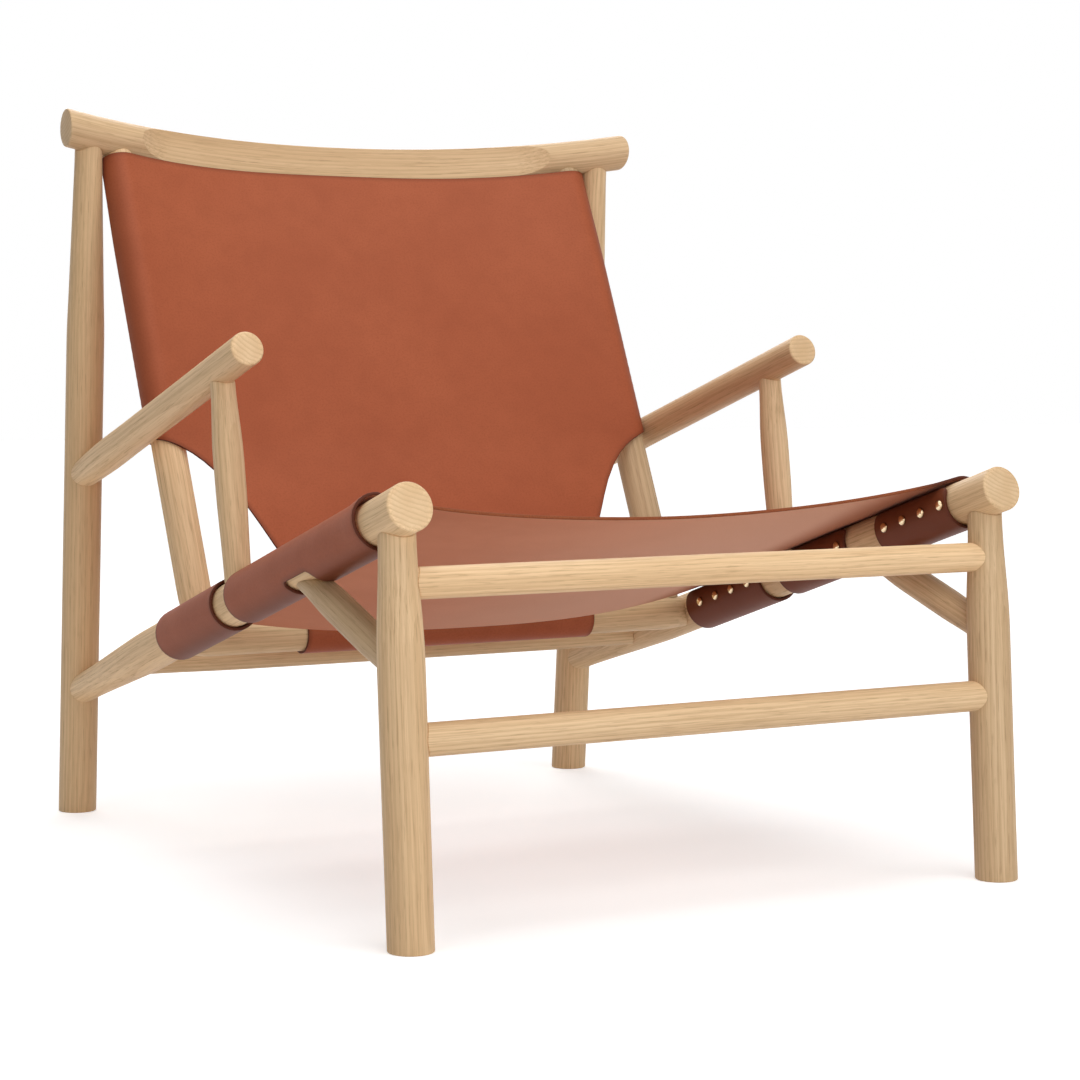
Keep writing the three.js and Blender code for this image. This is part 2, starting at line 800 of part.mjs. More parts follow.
// A row above the hips, with both wraps; the top edge rises a little to the middle
function upperRow(share) {
  const base = lerp(hipHeight, backTop, share);
  const section = backSection(base);
  const cells = [];
  for (let k = 0; k < backWrapSteps; k += 1) {
    cells.push(section.onStick(lerp(section.start, section.end, k / backWrapSteps)));
  }
  for (const spanShare of backSpanShares) {
    cells.push(section.onSpan(lerp(section.inwardStart, uprightX, spanShare)));
  }
  return cells.map((cell) => {
    const inward = clamp(cell.point[0] / uprightX, 0, 1);
    return { ...cell, s: base + backTopRise * share * (1 - (1 - inward) ** 2) };
  });
}

// A row below the hips; its wrap columns are all at the edge and their cells aren't kept
function lowerRow(s, half) {
  const section = backSection(s);
  const cells = backSpanShares.map((spanShare) => section.onSpan(uprightX - half * (1 - spanShare)));
  for (const cell of cells) cell.point = [cell.point[0], cell.point[1] + frontOffset(s)];
  const all = [...Array(backWrapSteps).fill(cells[0]), ...cells];
  return all.map((cell) => ({ ...cell, s }));
}

function tongueRow(degrees) {
  const angle = radians(degrees);
  const cells = backSpanShares.map((spanShare) => ({
    point: [uprightX - tongueHalf * (1 - spanShare), railLift * Math.cos(angle)],
    normal: [0, Math.cos(angle)],
    s: -railLift * Math.sin(angle),
    along: -Math.sin(angle),
  }));
  return [...Array(backWrapSteps).fill(cells[0]), ...cells];
}

const backHalfRows = [];
for (let k = tongueSteps; k > 0; k -= 1) backHalfRows.push(tongueRow((tongueEndDegrees * k) / tongueSteps));
backHalfRows.push(lowerRow(0, tongueHalf));
for (const share of lowerShares) {
  const s = lerp(tongueTop, hipHeight, share);
  backHalfRows.push(lowerRow(s, hipHalf(s)));
}
const firstUpperRow = backHalfRows.length;
for (const share of upperShares) backHalfRows.push(upperRow(share));

const hidePoint = ({ point, s }, sign) =>
  backPoint(sign * (uprightX - point[0]), s).addScaledVector(backNormal, point[1]);
const hideNormal = ({ normal, along = 0 }, sign) =>
  new THREE.Vector3(-sign * normal[0], 0, 0)
    .addScaledVector(backNormal, normal[1])
    .addScaledVector(upRight, along);
const backRows = backHalfRows.map((half) => mirroredRow(half, hidePoint, hideNormal));
const backCells = backRows[0].length - 1;
const keepsBackCell = (i, j) => i >= firstUpperRow || Math.min(j, backCells - 1 - j) >= backWrapSteps;
place("back_hide", shell(backRows, backThickness, keepsBackCell), hide);

// Studs: a dome on a flat rim
function placeStud(name, point, normal) {
  const domeShares = [0.35, 0.7, 0.92];
  const points = [new THREE.Vector2(0, 0), new THREE.Vector2(studRadius, 0)];
  for (const share of domeShares) {
    const radius = studRadius * Math.sqrt(1 - share * share);
    points.push(new THREE.Vector2(radius, studRim + (studHeight - studRim) * share));
  }
  points.push(new THREE.Vector2(0, studHeight));
  const geometry = new THREE.LatheGeometry(points, studSegments);
  geometry.applyQuaternion(new THREE.Quaternion().setFromUnitVectors(new THREE.Vector3(0, 1, 0), normal));
  geometry.translate(point.x, point.y, point.z);
  place(name, geometryOf(solid(geometry)), brass);
}

const seatOuter = seatMiddle + seatThickness / 2 + studLift;
const tabEdges = {
  front: [seatFront, notchStart],
  middle: [notchEnd, slitStart],
  rear: [slitEnd, seatRear],
};
const evenly = (first, last, count) =>
  Array.from({ length: count }, (_, k) => lerp(first, last, k / (count - 1)));
for (const [side, sign] of sides) {
  const inward = new THREE.Vector3(-sign, 0, 0);
  for (const [tab, edges] of Object.entries(tabEdges)) {
    const insets = tabStudInsets[tab];
    evenly(edges[0] + insets[0], edges[1] - insets[1], tabStudCount).forEach((station, k) => {
      const point = railPoint(sign * sideX, station).addScaledVector(inward, seatOuter);
      placeStud(`${side}_${tab}_tab_stud_${k + 1}`, point, inward);
    });
  }
  const rearward = radians(uprightStudDegrees);
  evenly(uprightStudStart, backTop - uprightStudInset, backStudCount).forEach((s, k) => {
    const normal = new THREE.Vector3(sign * Math.sin(rearward), 0, 0);
    normal.addScaledVector(backNormal, Math.cos(rearward));
    const reach = uprightRadiusAt(s) + backLift + backThickness / 2 + studLift;
    const point = backPoint(sign * uprightX, s).addScaledVector(normal, reach);
    placeStud(`${side}_upright_stud_${k + 1}`, point, normal);
  });
}
const under = radians(tongueStudDegrees);
const tongueStudReach = tongueHalf - tongueStudInset;
evenly(-tongueStudReach, tongueStudReach, backStudCount).forEach((x, k) => {
  const normal = backNormal.clone().multiplyScalar(Math.cos(under));
  normal.addScaledVector(upRight, -Math.sin(under));
  const reach = railLift + backThickness / 2 + studLift;
  placeStud(`tongue_stud_${k + 1}`, backPoint(x, 0).addScaledVector(normal, reach), normal);
});

// The chair stands centred on the origin, with the floor at zero height
const bounds = new THREE.Box3().setFromObject(chair);
const middle = bounds.getCenter(new THREE.Vector3());
for (const mesh of chair.children) mesh.geometry.translate(-middle.x, -middle.y, -bounds.min.z);

export default chair;
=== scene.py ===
# %% [markdown]
# # A sling lounge chair in oak and saddle leather
#
# The chair is a frame of turned sticks with two hides slung in it. One hide wraps
# the sloping side rails and makes the seat. The other wraps the back uprights and
# ends in a tongue under the rear rail. The frame that the joiner drew is loaded
# first and stays where it is. All the lengths below are metres in that same frame:
# +Z is up, the front looks along -Y, and "left" is the side of negative X.

# %% Load the joiner's frame
import bpy
import random
import numpy as np
from math import acos, atan, atan2, copysign, cos, exp, hypot, pi, radians, sin, sqrt, tan
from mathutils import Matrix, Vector
from mathutils.geometry import delaunay_2d_cdt


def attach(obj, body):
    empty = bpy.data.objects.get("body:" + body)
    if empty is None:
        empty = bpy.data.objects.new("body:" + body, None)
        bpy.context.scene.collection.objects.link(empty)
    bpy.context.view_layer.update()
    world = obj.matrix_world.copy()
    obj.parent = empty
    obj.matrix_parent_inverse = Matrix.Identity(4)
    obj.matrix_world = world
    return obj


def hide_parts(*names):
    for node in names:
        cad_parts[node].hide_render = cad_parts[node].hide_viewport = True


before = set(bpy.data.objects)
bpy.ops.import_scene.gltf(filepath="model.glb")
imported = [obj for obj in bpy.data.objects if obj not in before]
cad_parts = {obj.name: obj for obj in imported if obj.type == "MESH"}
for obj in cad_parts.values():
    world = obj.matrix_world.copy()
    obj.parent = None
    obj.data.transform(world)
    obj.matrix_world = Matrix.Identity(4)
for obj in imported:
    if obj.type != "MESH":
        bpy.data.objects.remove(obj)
scene = bpy.context.scene
link = scene.collection.objects.link
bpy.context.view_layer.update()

# %% [markdown]
# ## The camera
#
# The picture's vanishing lines give the eye's place and a long lens. The camera
# stands low, a little above the seat, and is turned about thirty degrees.

# %% Place the camera
eye = Vector((-1.3784, -2.4798, 0.5204))
eye_turn = radians(-29.85)
eye_drop = radians(3.88)
lens = bpy.data.cameras.new("eye")
lens.lens = 88.134
lens.sensor_width = 36
lens.clip_start = 0.1
lens.clip_end = 60
camera = bpy.data.objects.new("eye", lens)
camera.location = eye
camera.rotation_euler = (radians(90) - eye_drop, 0, eye_turn)
link(camera)
scene.camera = camera
print("the eye is", round(eye.length, 3), "m from the middle of the chair's footprint")

# %% [markdown]
# ## Shader sums in plain Python
#
# A finish is a web of small nodes, so one small class wraps a socket. Adding or
# multiplying two wrapped sockets adds the Math node, and `node` adds any other kind:
# its settings, its inputs, then the number of the output that is wanted.

# %% A socket that can be added and multiplied
class Wire:
    def __init__(self, tree, socket=None):
        self.tree = tree
        self.socket = socket

    def plug(self, target, value):
        if isinstance(value, Wire):
            self.tree.links.new(value.socket, target)
        else:
            target.default_value = value

    def node(self, kind, settings=None, inputs=None, out=0):
        made = self.tree.nodes.new(kind)
        for name, value in (settings or {}).items():
            setattr(made, name, value)
        for name, value in (inputs or {}).items():
            self.plug(made.inputs[name], value)
        return Wire(self.tree, made.outputs[out])

    def sum(self, operation, *values):
        return self.node("ShaderNodeMath", {"operation": operation}, dict(enumerate(values)))

    def __add__(self, other):
        return self.sum("ADD", self, other)

    def __sub__(self, other):
        return self.sum("SUBTRACT", self, other)

    def __mul__(self, other):
        return self.sum("MULTIPLY", self, other)

    def __truediv__(self, other):
        return self.sum("DIVIDE", self, other)

    def __rsub__(self, other):
        return self.sum("SUBTRACT", other, self)

    __radd__ = __add__
    __rmul__ = __mul__

    def part(self, number):
        """One of the three numbers of a wrapped vector."""
        return self.node("ShaderNodeSeparateXYZ", None, {0: self}, number)

    def between(self, low, high):
        """0 below low, 1 above high and a soft step in between."""
        settings = {"interpolation_type": "SMOOTHSTEP"}
        return self.node("ShaderNodeMapRange", settings, {0: self, 1: low, 2: high})

    def noise(self, scale, detail=2.0, roughness=0.5, stretch=None):
        place = self
        if stretch:
            settings = {"operation": "MULTIPLY"}
            place = self.node("ShaderNodeVectorMath", settings, {0: self, 1: stretch})
        inputs = {"Vector": place, "Scale": scale, "Detail": detail, "Roughness": roughness}
        return self.node("ShaderNodeTexNoise", None, inputs)


def mixed(amount, first, second):
    """The first colour, and as much of the second as the wrapped amount says."""
    colours = [v if isinstance(v, Wire) else (*v, 1) for v in (first, second)]
    inputs = {0: amount, 6: colours[0], 7: colours[1]}
    return amount.node("ShaderNodeMix", {"data_type": "RGBA"}, inputs, out=2)


def new_finish(name):
    material = bpy.data.materials.new(name)
    material.use_nodes = True
    tree = material.node_tree
    shader = tree.nodes["Principled BSDF"]
    return material, Wire(tree), shader


def attribute(wire, name, out):
    return wire.node("ShaderNodeAttribute", {"attribute_name": name}, None, out)


def dress(wire, shader, colour, roughness, relief, constants):
    """Plugs a finish together. relief is a height, its strength and its distance in metres."""
    inputs = dict(zip(("Height", "Strength", "Distance"), relief))
    wire.plug(shader.inputs["Normal"], wire.node("ShaderNodeBump", None, inputs))
    wire.plug(shader.inputs["Base Color"], colour)
    wire.plug(shader.inputs["Roughness"], roughness)
    for name, value in constants.items():
        shader.inputs[name].default_value = value


print("the finishes are written with", Wire.__name__)

# %% [markdown]
# ## The studio
#
# The picture is a plain studio shot on white. A wide pale floor takes the shadow,
# and soft lamps and the world light the chair. The white behind it is painted only
# for rays that see it directly, from the eye, from a mirror or through glass.

# %% Build the floor and the world
def seen_directly(wire):
    """1 for a ray from the eye, from a mirror or through glass, else 0."""
    path = wire.tree.nodes.new("ShaderNodeLightPath")
    names = ("Is Camera Ray", "Is Glossy Ray", "Is Transmission Ray")
    eye_ray, mirror_ray, glass_ray = (Wire(wire.tree, path.outputs[name]) for name in names)
    return wire.sum("MAXIMUM", wire.sum("MAXIMUM", eye_ray, mirror_ray), glass_ray)


floor_half = 14.0
floor_lift, far_lift, lift_starts, lift_ends = 0.46, 0.5, 1.2, 5.0
floor_mesh = bpy.data.meshes.new("studio_floor")
corner_signs = ((-1, -1), (1, -1), (1, 1), (-1, 1))
floor_corners = [(floor_half * x, floor_half * y, 0) for x, y in corner_signs]
floor_mesh.from_pydata(floor_corners, [], [(0, 1, 2, 3)])
floor = bpy.data.objects.new("studio_floor", floor_mesh)
link(floor)

floor_finish, wire, shader = new_finish("studio_floor")
shader.inputs["Base Color"].default_value = (0.88, 0.88, 0.88, 1)
shader.inputs["Roughness"].default_value = 0.9
shader.inputs["Specular IOR Level"].default_value = 0.1
spot = wire.node("ShaderNodeTexCoord", None, None, 3)
from_chair = spot.node("ShaderNodeVectorMath", {"operation": "LENGTH"}, {0: spot}, 1)
lift = seen_directly(wire) * (floor_lift + from_chair.between(lift_starts, lift_ends) * far_lift)
glow = wire.node("ShaderNodeEmission", None, {"Color": (1, 1, 1, 1), "Strength": lift})
both = wire.node("ShaderNodeAddShader", None, {0: Wire(wire.tree, shader.outputs[0]), 1: glow})
wire.plug(wire.tree.nodes["Material Output"].inputs["Surface"], both)
floor_mesh.materials.append(floor_finish)

world = bpy.data.worlds.new("studio")
world.use_nodes = True
scene.world = world
sky = Wire(world.node_tree)
room_light = 0.10
painted = seen_directly(sky)
level = painted + (1 - painted) * room_light
ground = world.node_tree.nodes["Background"]
sky.plug(ground.inputs["Color"], (1, 1, 1, 1))
sky.plug(ground.inputs["Strength"], level)
print("the floor is", 2 * floor_half, "m wide")

# %% Hang the soft lamps
chair_heart = Vector((0, 0, 0.42))


def soft_lamp(name, place, size, watts):
    lamp = bpy.data.lights.new(name, "AREA")
    lamp.shape = "RECTANGLE"
    lamp.size, lamp.size_y = size
    lamp.energy = watts
    made = bpy.data.objects.new(name, lamp)
    made.location = place
    aim = chair_heart - Vector(place)
    made.rotation_euler = aim.to_track_quat("-Z", "Y").to_euler()
    link(made)


soft_lamp("overhead", (-0.2, -0.4, 3.0), (2.6, 2.6), 50)
soft_lamp("right_window", (1.8, -3.3, 2.0), (2.6, 2.2), 34)
soft_lamp("front_fill", (-0.6, -4.0, 1.4), (2.4, 1.8), 46)
soft_lamp("behind", (0.6, 2.6, 2.4), (2.4, 1.8), 44)
soft_lamp("left_window", (-3.2, -1.4, 1.6), (2.2, 2.0), 9)
scene.view_settings.view_transform = "Standard"
print("five soft lamps and the world light the chair")

# %% [markdown]
# ## Oak
#
# The sticks are turned from light oak and oiled. Their figure is made in space:
# growth rings lie round a heart some way outside each stick, so long tapered lines
# on the sides and near-level arcs on the sawn ends come by themselves. Each stick
# carries its own coordinates in the attribute "wood", with the third number running
# along its length. A second attribute is painted light and shade: it scales each
# stick's colour up where the lamps light that stick and down where it stands in shade.
# "sawn" is 1 on a sawn end, where the fibres are seen end on and hardly show.

# %% Mix the oak
# Painted light and shade: each stick's colour is scaled up where the lamps light it and down where
# it stands in shade, as the braces under the seat and the right upright do.
painted_light_per_stick = {
    "upper_front_stretcher": 1.13,
    "lower_front_stretcher": 1.02,
    "right_front_leg": 0.85,
    "left_armrest": 1.10,
    "left_back_upright": 1.10,
    "right_back_upright": 0.74,
    "left_leg_brace": 0.78,
    "right_leg_brace": 0.88,
    "left_rear_post": 0.95,
    "left_side_rail": 1.12,
    "top_rail": 0.92,
}
ring_width = 0.0046


def oak_finish():
    material, wire, shader = new_finish("oiled_oak")
    wood = attribute(wire, "wood", "Vector")
    across, deep = wood.part(0), wood.part(1)
    drift = wood.noise(1.0, 3.0, 0.5, (16, 16, 1.7)) - 0.5
    ripple = wood.noise(1.0, 2.0, 0.5, (70, 70, 6)) - 0.5
    reach = wood.sum("SQRT", across * across + deep * deep) + drift * 0.016 + ripple * 0.0022
    year = wood.sum("FRACT", reach / ring_width)
    late = year.between(0.35, 0.97) - year.between(0.97, 1.0)
    tone = wood.noise(1.0, 3.0, 0.55, (28, 28, 1.1))
    fibre = wood.noise(1.0, 3.0, 0.65, (620, 620, 9))
    pores = wood.noise(1.0, 2.0, 0.5, (900, 900, 34)).between(0.56, 0.66)
    streaks = wood.noise(1.0, 3.0, 0.62, (250, 250, 3.2))
    pale, warm = (0.83, 0.595, 0.355), (0.74, 0.500, 0.275)
    line, pore = (0.60, 0.385, 0.200), (0.40, 0.240, 0.115)
    body = mixed(tone.between(0.3, 0.7), pale, warm)
    sawn = attribute(wire, "sawn", "Fac")
    along = 1 - sawn * 0.8
    ringed = mixed(late * 0.5, body, line)
    banded = mixed(streaks.between(0.40, 0.68) * 0.34 * along, ringed, line)
    streaked = mixed(fibre.between(0.47, 0.66) * 0.52 * along, banded, line)
    open_grain = mixed(pores * 0.50 * (0.5 + late * 0.5) * along, streaked, pore)
    # Painted light and shade: the colour is scaled by each stick's tone from the table above.
    painted_light_tone = attribute(wire, "painted_light_tone", "Fac") * (1 - sawn * 0.08)
    inputs = {0: open_grain, "Scale": painted_light_tone}
    colour = wire.node("ShaderNodeVectorMath", {"operation": "SCALE"}, inputs)
    rough = 0.44 + fibre * 0.14 + pores * 0.1
    relief = (fibre * 0.5 + late * 0.3 - pores * 0.9) * along
    dress(wire, shader, colour, rough, (relief, 0.22, 0.0003), {"Specular IOR Level": 0.28})
    return material


oak = oak_finish()
print("oak has", len(oak.node_tree.nodes), "nodes")

# %% [markdown]
# ## Saddle leather
#
# Both hides are thick vegetable-tanned leather, which has three faces: the smooth
# grain side with a soft polish, the rough flesh side that shows under the seat, and
# the dark burnished cut edge. Each hide carries "lay", its place on the flat cut, so
# that pores and clouds follow the bent leather, and "edge", the distance to the
# nearest cut, where handling has darkened it.

# %% Mix the three faces of the leather
def from_middle(lay):
    """How far across the flat cut a point lies from the middle line."""
    return lay.sum("ABSOLUTE", lay.part(0))


def grain_side(name, light, deep, gloss, fold, wrap_shade):
    """fold is where, from the middle, the wrapped part begins; darker is how much painted shade
    falls on the wrapped part past it.
    """
    material, wire, shader = new_finish(name)
    lay = attribute(wire, "lay", "Vector")
    edge = attribute(wire, "edge", "Fac")
    clouds = lay.noise(5.0, 4.0, 0.55)
    patches = lay.noise(34.0, 3.0, 0.6)
    speckle = lay.noise(430.0, 3.0, 0.6)
    pores = lay.noise(1900.0, 3.0, 0.6)
    creases = lay.noise(260.0, 4.0, 0.65)
    # One dark tone serves both the cut edges that handling darkens and the painted shade on the
    # wrapped part.
    worn, handling_and_shade = tuple(v * 0.76 for v in deep), tuple(v * 0.42 for v in deep)
    body = mixed(clouds.between(0.3, 0.7), deep, light)
    clouded = mixed(patches.between(0.35, 0.75) * 0.22, body, worn)
    speckled = mixed(speckle.between(0.42, 0.68) * 0.36, clouded, worn)
    # Painted shade: past the fold, where the hide wraps round a stick, the grain side is darkened
    # as the stick and the hide shade it.
    wrap_shade_mask = from_middle(lay).between(*fold)
    painted_wrap_shade = mixed(wrap_shade_mask * wrap_shade, speckled, handling_and_shade)
    colour = mixed((1 - edge.between(0.0, 0.006)) * 0.5, painted_wrap_shade, handling_and_shade)
    rough = 0.46 + patches * 0.10 + pores * 0.06
    relief = pores * 0.35 + creases * 0.55 + patches * 0.5
    polish = {"Specular IOR Level": gloss, "Coat Weight": gloss * 0.25, "Coat Roughness": 0.35}
    dress(wire, shader, colour, rough, (relief, 0.28, 0.0004), polish)
    return material


def flesh_side():
    material, wire, shader = new_finish("leather_flesh_side")
    lay = attribute(wire, "lay", "Vector")
    clouds = lay.noise(9.0, 4.0, 0.6)
    nap = lay.noise(700.0, 4.0, 0.7)
    strands = lay.noise(1.0, 3.0, 0.6, (160, 420, 160))
    across = lay.part(0)
    body = mixed(clouds.between(0.3, 0.7), (0.62, 0.223, 0.116), (0.68, 0.256, 0.140))
    # Painted light: the flesh side is made paler towards the middle and the right, where more light
    # falls under the seat. Painted shade: next to the right rail it turns dark, in that rail's
    # shade.
    painted_light_flesh = mixed(across.between(-0.22, 0.12) * 0.75, body, (0.79, 0.450, 0.310))
    painted_rail_shade = mixed(across.between(0.205, 0.285) * 0.95, painted_light_flesh, (0.41, 0.115, 0.035))
    colour = mixed(nap.between(0.35, 0.7) * 0.3, painted_rail_shade, (0.50, 0.185, 0.105))
    relief = nap * 0.6 + strands * 0.6
    fuzz = {"Specular IOR Level": 0.25, "Sheen Weight": 0.06, "Sheen Roughness": 0.6}
    dress(wire, shader, colour, 0.84 + nap * 0.12, (relief, 0.45, 0.0005), fuzz)
    return material


def cut_edge(name, dark, light):
    material, wire, shader = new_finish(name)
    lay = attribute(wire, "lay", "Vector")
    layers = lay.noise(900.0, 3.0, 0.6)
    layered = mixed(layers.between(0.3, 0.7), dark, light)
    # Painted shade: past the fold, on the wrapped tabs and sleeves, the cut edge is darkened nearly
    # to black, in the shade between leather and stick.
    colour = mixed(from_middle(lay).between(0.27, 0.31) * 0.9, layered, (0.075, 0.016, 0.007))
    rough = 0.5 + layers * 0.2
    dress(wire, shader, colour, rough, (layers, 0.3, 0.0002), {"Specular IOR Level": 0.2})
    return material


flesh = flesh_side()
back_rim = cut_edge("back_cut_edge", (0.085, 0.019, 0.008), (0.14, 0.034, 0.013))
seat_rim = cut_edge("seat_cut_edge", (0.21, 0.052, 0.017), (0.30, 0.085, 0.028))
back_tones = (0.414, 0.107, 0.045), (0.368, 0.090, 0.037)
seat_tones = (0.36, 0.090, 0.034), (0.31, 0.074, 0.027)
# The last number of each grain side is how much painted shade lies on its wrapped part.
back_grain = grain_side("back_grain_side", *back_tones, 0.13, (0.296, 0.314), 0.38)
seat_grain = grain_side("seat_grain_side", *seat_tones, 0.20, (0.372, 0.400), 0.82)
back_leather = [back_grain, flesh, back_rim]
seat_leather = [seat_grain, flesh, seat_rim]
print("each hide has", len(back_leather), "faces")

# %% [markdown]
# ## Brass
#
# The studs are solid brass domes. Hands and trousers rub their crowns bright, while
# the rims are darkened with a little tarnish and with painted shade, so "edge" tells how far down
# the dome a point lies.

# %% Mix the brass
def brass_finish():
    material, wire, shader = new_finish("stud_brass")
    lay = attribute(wire, "lay", "Vector")
    rim = attribute(wire, "edge", "Fac")
    scuffs = lay.noise(1600.0, 3.0, 0.6)
    # Tarnish and painted shade: the lower part of each dome is darkened nearly to black.
    colour = mixed(rim.between(0.20, 0.75) * 0.9, (0.93, 0.76, 0.50), (0.17, 0.07, 0.025))
    rough = 0.10 + scuffs * 0.12 + rim * 0.12
    dress(wire, shader, colour, rough, (scuffs, 0.12, 0.0001), {"Metallic": 1.0})
    return material


brass = brass_finish()
print("brass has", len(brass.node_tree.nodes), "nodes")

# %% [markdown]
# ## Turned sticks
#
# Every stick is a turning: a profile of radii along an axis. The joiner's solids
# have twenty flats round, which show as facets in soft light, so each stick is turned
# again here with more faces. A few radii differ from the drawing by a millimetre or
# two, where the picture shows the stick so. Where a stick meets its host, its
# shoulder is scribed to the host's round side, and a small chamfer gives the fine
# dark joint line of real joinery.

# %% Profiles and rings
sides_round = 56
ring_step = 0.014
random.seed(11)


def eased(profile, along):
    """The radius at a distance, through the listed radii without corners."""
    stations = [d for d, _ in profile]
    radii = [r for _, r in profile]
    if along <= stations[0]:
        return radii[0]
    if along >= stations[-1]:
        return radii[-1]
    k = next(i for i in range(len(stations) - 1) if along <= stations[i + 1])
    runs = [max(ahead - here, 1e-9) for here, ahead in zip(stations, stations[1:])]
    slopes = [(radii[i + 1] - radii[i]) / run for i, run in enumerate(runs)]
    span = stations[k + 1] - stations[k]

    def tangent(i):
        if i <= 0 or i >= len(radii) - 1 or slopes[i - 1] * slopes[i] <= 0:
            return 0.0
        return 2 * slopes[i - 1] * slopes[i] / (slopes[i - 1] + slopes[i])

    share = (along - stations[k]) / span
    square, cube = share**2, share**3
    start = (2 * cube - 3 * square + 1) * radii[k] + (cube - 2 * square + share) * span * tangent(k)
    return start + (3 * square - 2 * cube) * radii[k + 1] + (cube - square) * span * tangent(k + 1)


def held(value):
    """The value, held between 0 and 1."""
    return min(max(value, 0), 1)


def smooth_piece(name, points, faces, finishes, sharp_degrees=38):
    mesh = bpy.data.meshes.new(name)
    mesh.from_pydata([tuple(p) for p in points], [], faces)
    for finish in finishes:
        mesh.materials.append(finish)
    mesh.polygons.foreach_set("use_smooth", [True] * len(mesh.polygons))
    mesh.set_sharp_from_angle(angle=radians(sharp_degrees))
    mesh.update()
    piece = bpy.data.objects.new(name, mesh)
    link(piece)
    return piece


def store(piece, name, values):
    """Keeps a number or a vector for every point of a piece."""
    table = np.array(values, np.float32)
    kind, field = ("FLOAT_VECTOR", "vector") if table.ndim == 2 else ("FLOAT", "value")
    piece.data.attributes.new(name, kind, "POINT").data.foreach_set(field, table.ravel())


def tube_faces(rings, around):
    faces = []
    for low in range(0, (rings - 1) * around, around):
        high = low + around
        for k in range(around):
            n = (k + 1) % around
            faces.append((low + k, low + n, high + n, high + k))
    faces.append(tuple(reversed(range(around))))
    faces.append(tuple((rings - 1) * around + k for k in range(around)))
    return faces


def dress_oak(piece, name, wood, around):
    """Gives a stick its grain, its painted light and shade and its place; both end rings are sawn.
    """
    sawn_end = [1.0] * around
    store(piece, "wood", wood)
    # Painted light and shade, one tone for the whole stick.
    store(piece, "painted_light_tone", [painted_light_per_stick.get(name, 1.0)] * len(wood))
    store(piece, "sawn", sawn_end + [0.0] * (len(wood) - 2 * around) + sawn_end)
    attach(piece, "root")
    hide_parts(name)


print("an eased profile of 10 to 20 mm passes", round(eased([(0, 0.01), (1, 0.02)], 0.5), 4), "m")

# %% Scribe a stick between its hosts
sticks = {}
joint_gap = 0.0003
chamfer = 0.0008
foot_rim, sawn_rim = 0.0015, 0.0022
cap_step = 0.004


def meeting(point, direction, host, first):
    """How far along the line the host's round side, or the floor, is met."""
    if host == "floor":
        return -point.z / direction.z
    base, axis, host_radius = host
    reach = host_radius + joint_gap
    flat = direction - direction.dot(axis) * axis
    offset = point - base
    offset = offset - offset.dot(axis) * axis
    a, b = flat.dot(flat), offset.dot(flat)
    root = b * b - a * (offset.dot(offset) - reach * reach)
    root = sqrt(max(root, 0))
    return (-b + root) / a if first else (-b - root) / a


def host_of(name, point):
    """A stick as a host at a point: its axis there and its radius."""
    base, axis, profile = sticks[name]
    return base, axis, eased(profile, (point - base).dot(axis))


def rim_of(host):
    """How far an end is rounded: sawn ends most, feet less, and joints only chamfered."""
    if host is None:
        return sawn_rim
    return foot_rim if host == "floor" else chamfer


def turned_stick(name, start, end, profile, start_host=None, end_host=None):
    axis = (end - start).normalized()
    length = (end - start).length
    sticks[name] = (start, axis, profile)
    side = axis.cross(Vector((0.31, 0.17, 0.93))).normalized()
    other = axis.cross(side)
    shares = np.linspace(0, 1, max(int(length / ring_step), 3) + 1)
    rings, wood = [], []
    heart_ranges = ((0.07, 0.16), (-0.03, 0.03), (0, 40))
    heart = Vector([random.uniform(low, high) for low, high in heart_ranges])
    near_level = abs(axis.z) < 0.5
    if near_level:
        heart.x, heart.y = heart.y, heart.x
    spin = random.uniform(-0.5, 0.5)

    def limits(angle, radius, ease):
        ray = side * cos(angle) + other * sin(angle)
        point = start + ray * radius
        low = meeting(point, axis, start_host, True) + ease if start_host else ease
        high = meeting(point, axis, end_host, False) - ease if end_host else length - ease
        return ray, low, high

    def add_ring(place, shrink, ease, push=0.0):
        """place is a share between both limits; shrink draws the ring in."""
        points = []
        for k in range(sides_round):
            angle = 2 * pi * k / sides_round
            near = eased(profile, 0.0 if place < 0.5 else length) - shrink
            ray, low, high = limits(angle, near, ease)
            along = low + (high - low) * place + push
            radius = eased(profile, along) - shrink
            points.append(start + axis * along + ray * radius)
            turn = angle + spin
            place_in_board = (cos(turn) * radius, sin(turn) * radius, along)
            wood.append(Vector(place_in_board) + heart)
        rings.append(points)

    def finish_end(place, host, outward):
        """Rings from the last full one out to the cap: a rounded rim or a scribed shoulder."""
        if host is None or host == "floor":
            size = rim_of(host)
            angles = [radians(degrees) for degrees in (20, 45, 70, 90)]
            steps = [(size * (1 - cos(a)), size * (1 - sin(a)), 0.0) for a in angles]
            steps.append((size + cap_step, 0.0, 0.0))
        else:
            steps = [(chamfer * 0.5, chamfer * 0.35, 0.0), (chamfer, 0.0, 0.0)]
            steps.append((chamfer * 1.5, 0.0, outward * cap_step))
        return [(place, *step) for step in steps]

    first_ease, last_ease = rim_of(start_host), rim_of(end_host)
    for step in reversed(finish_end(0.0, start_host, -1)):
        add_ring(*step)
    for share in shares:
        add_ring(share, 0.0, first_ease + (last_ease - first_ease) * share)
    for step in finish_end(1.0, end_host, 1):
        add_ring(*step)
    points = [p for ring in rings for p in ring]
    faces = tube_faces(len(rings), sides_round)
    piece = smooth_piece(name + "_turned", points, faces, [oak])
    dress_oak(piece, name, wood, sides_round)


# %% [markdown]
# ## The side frames
#
# Each side frame has a rail that slopes down to the back, a front leg, a tall rear
# post, an armrest with its support, and a brace. The points are where the axes
# cross, so that a change of slope carries the sticks with it.

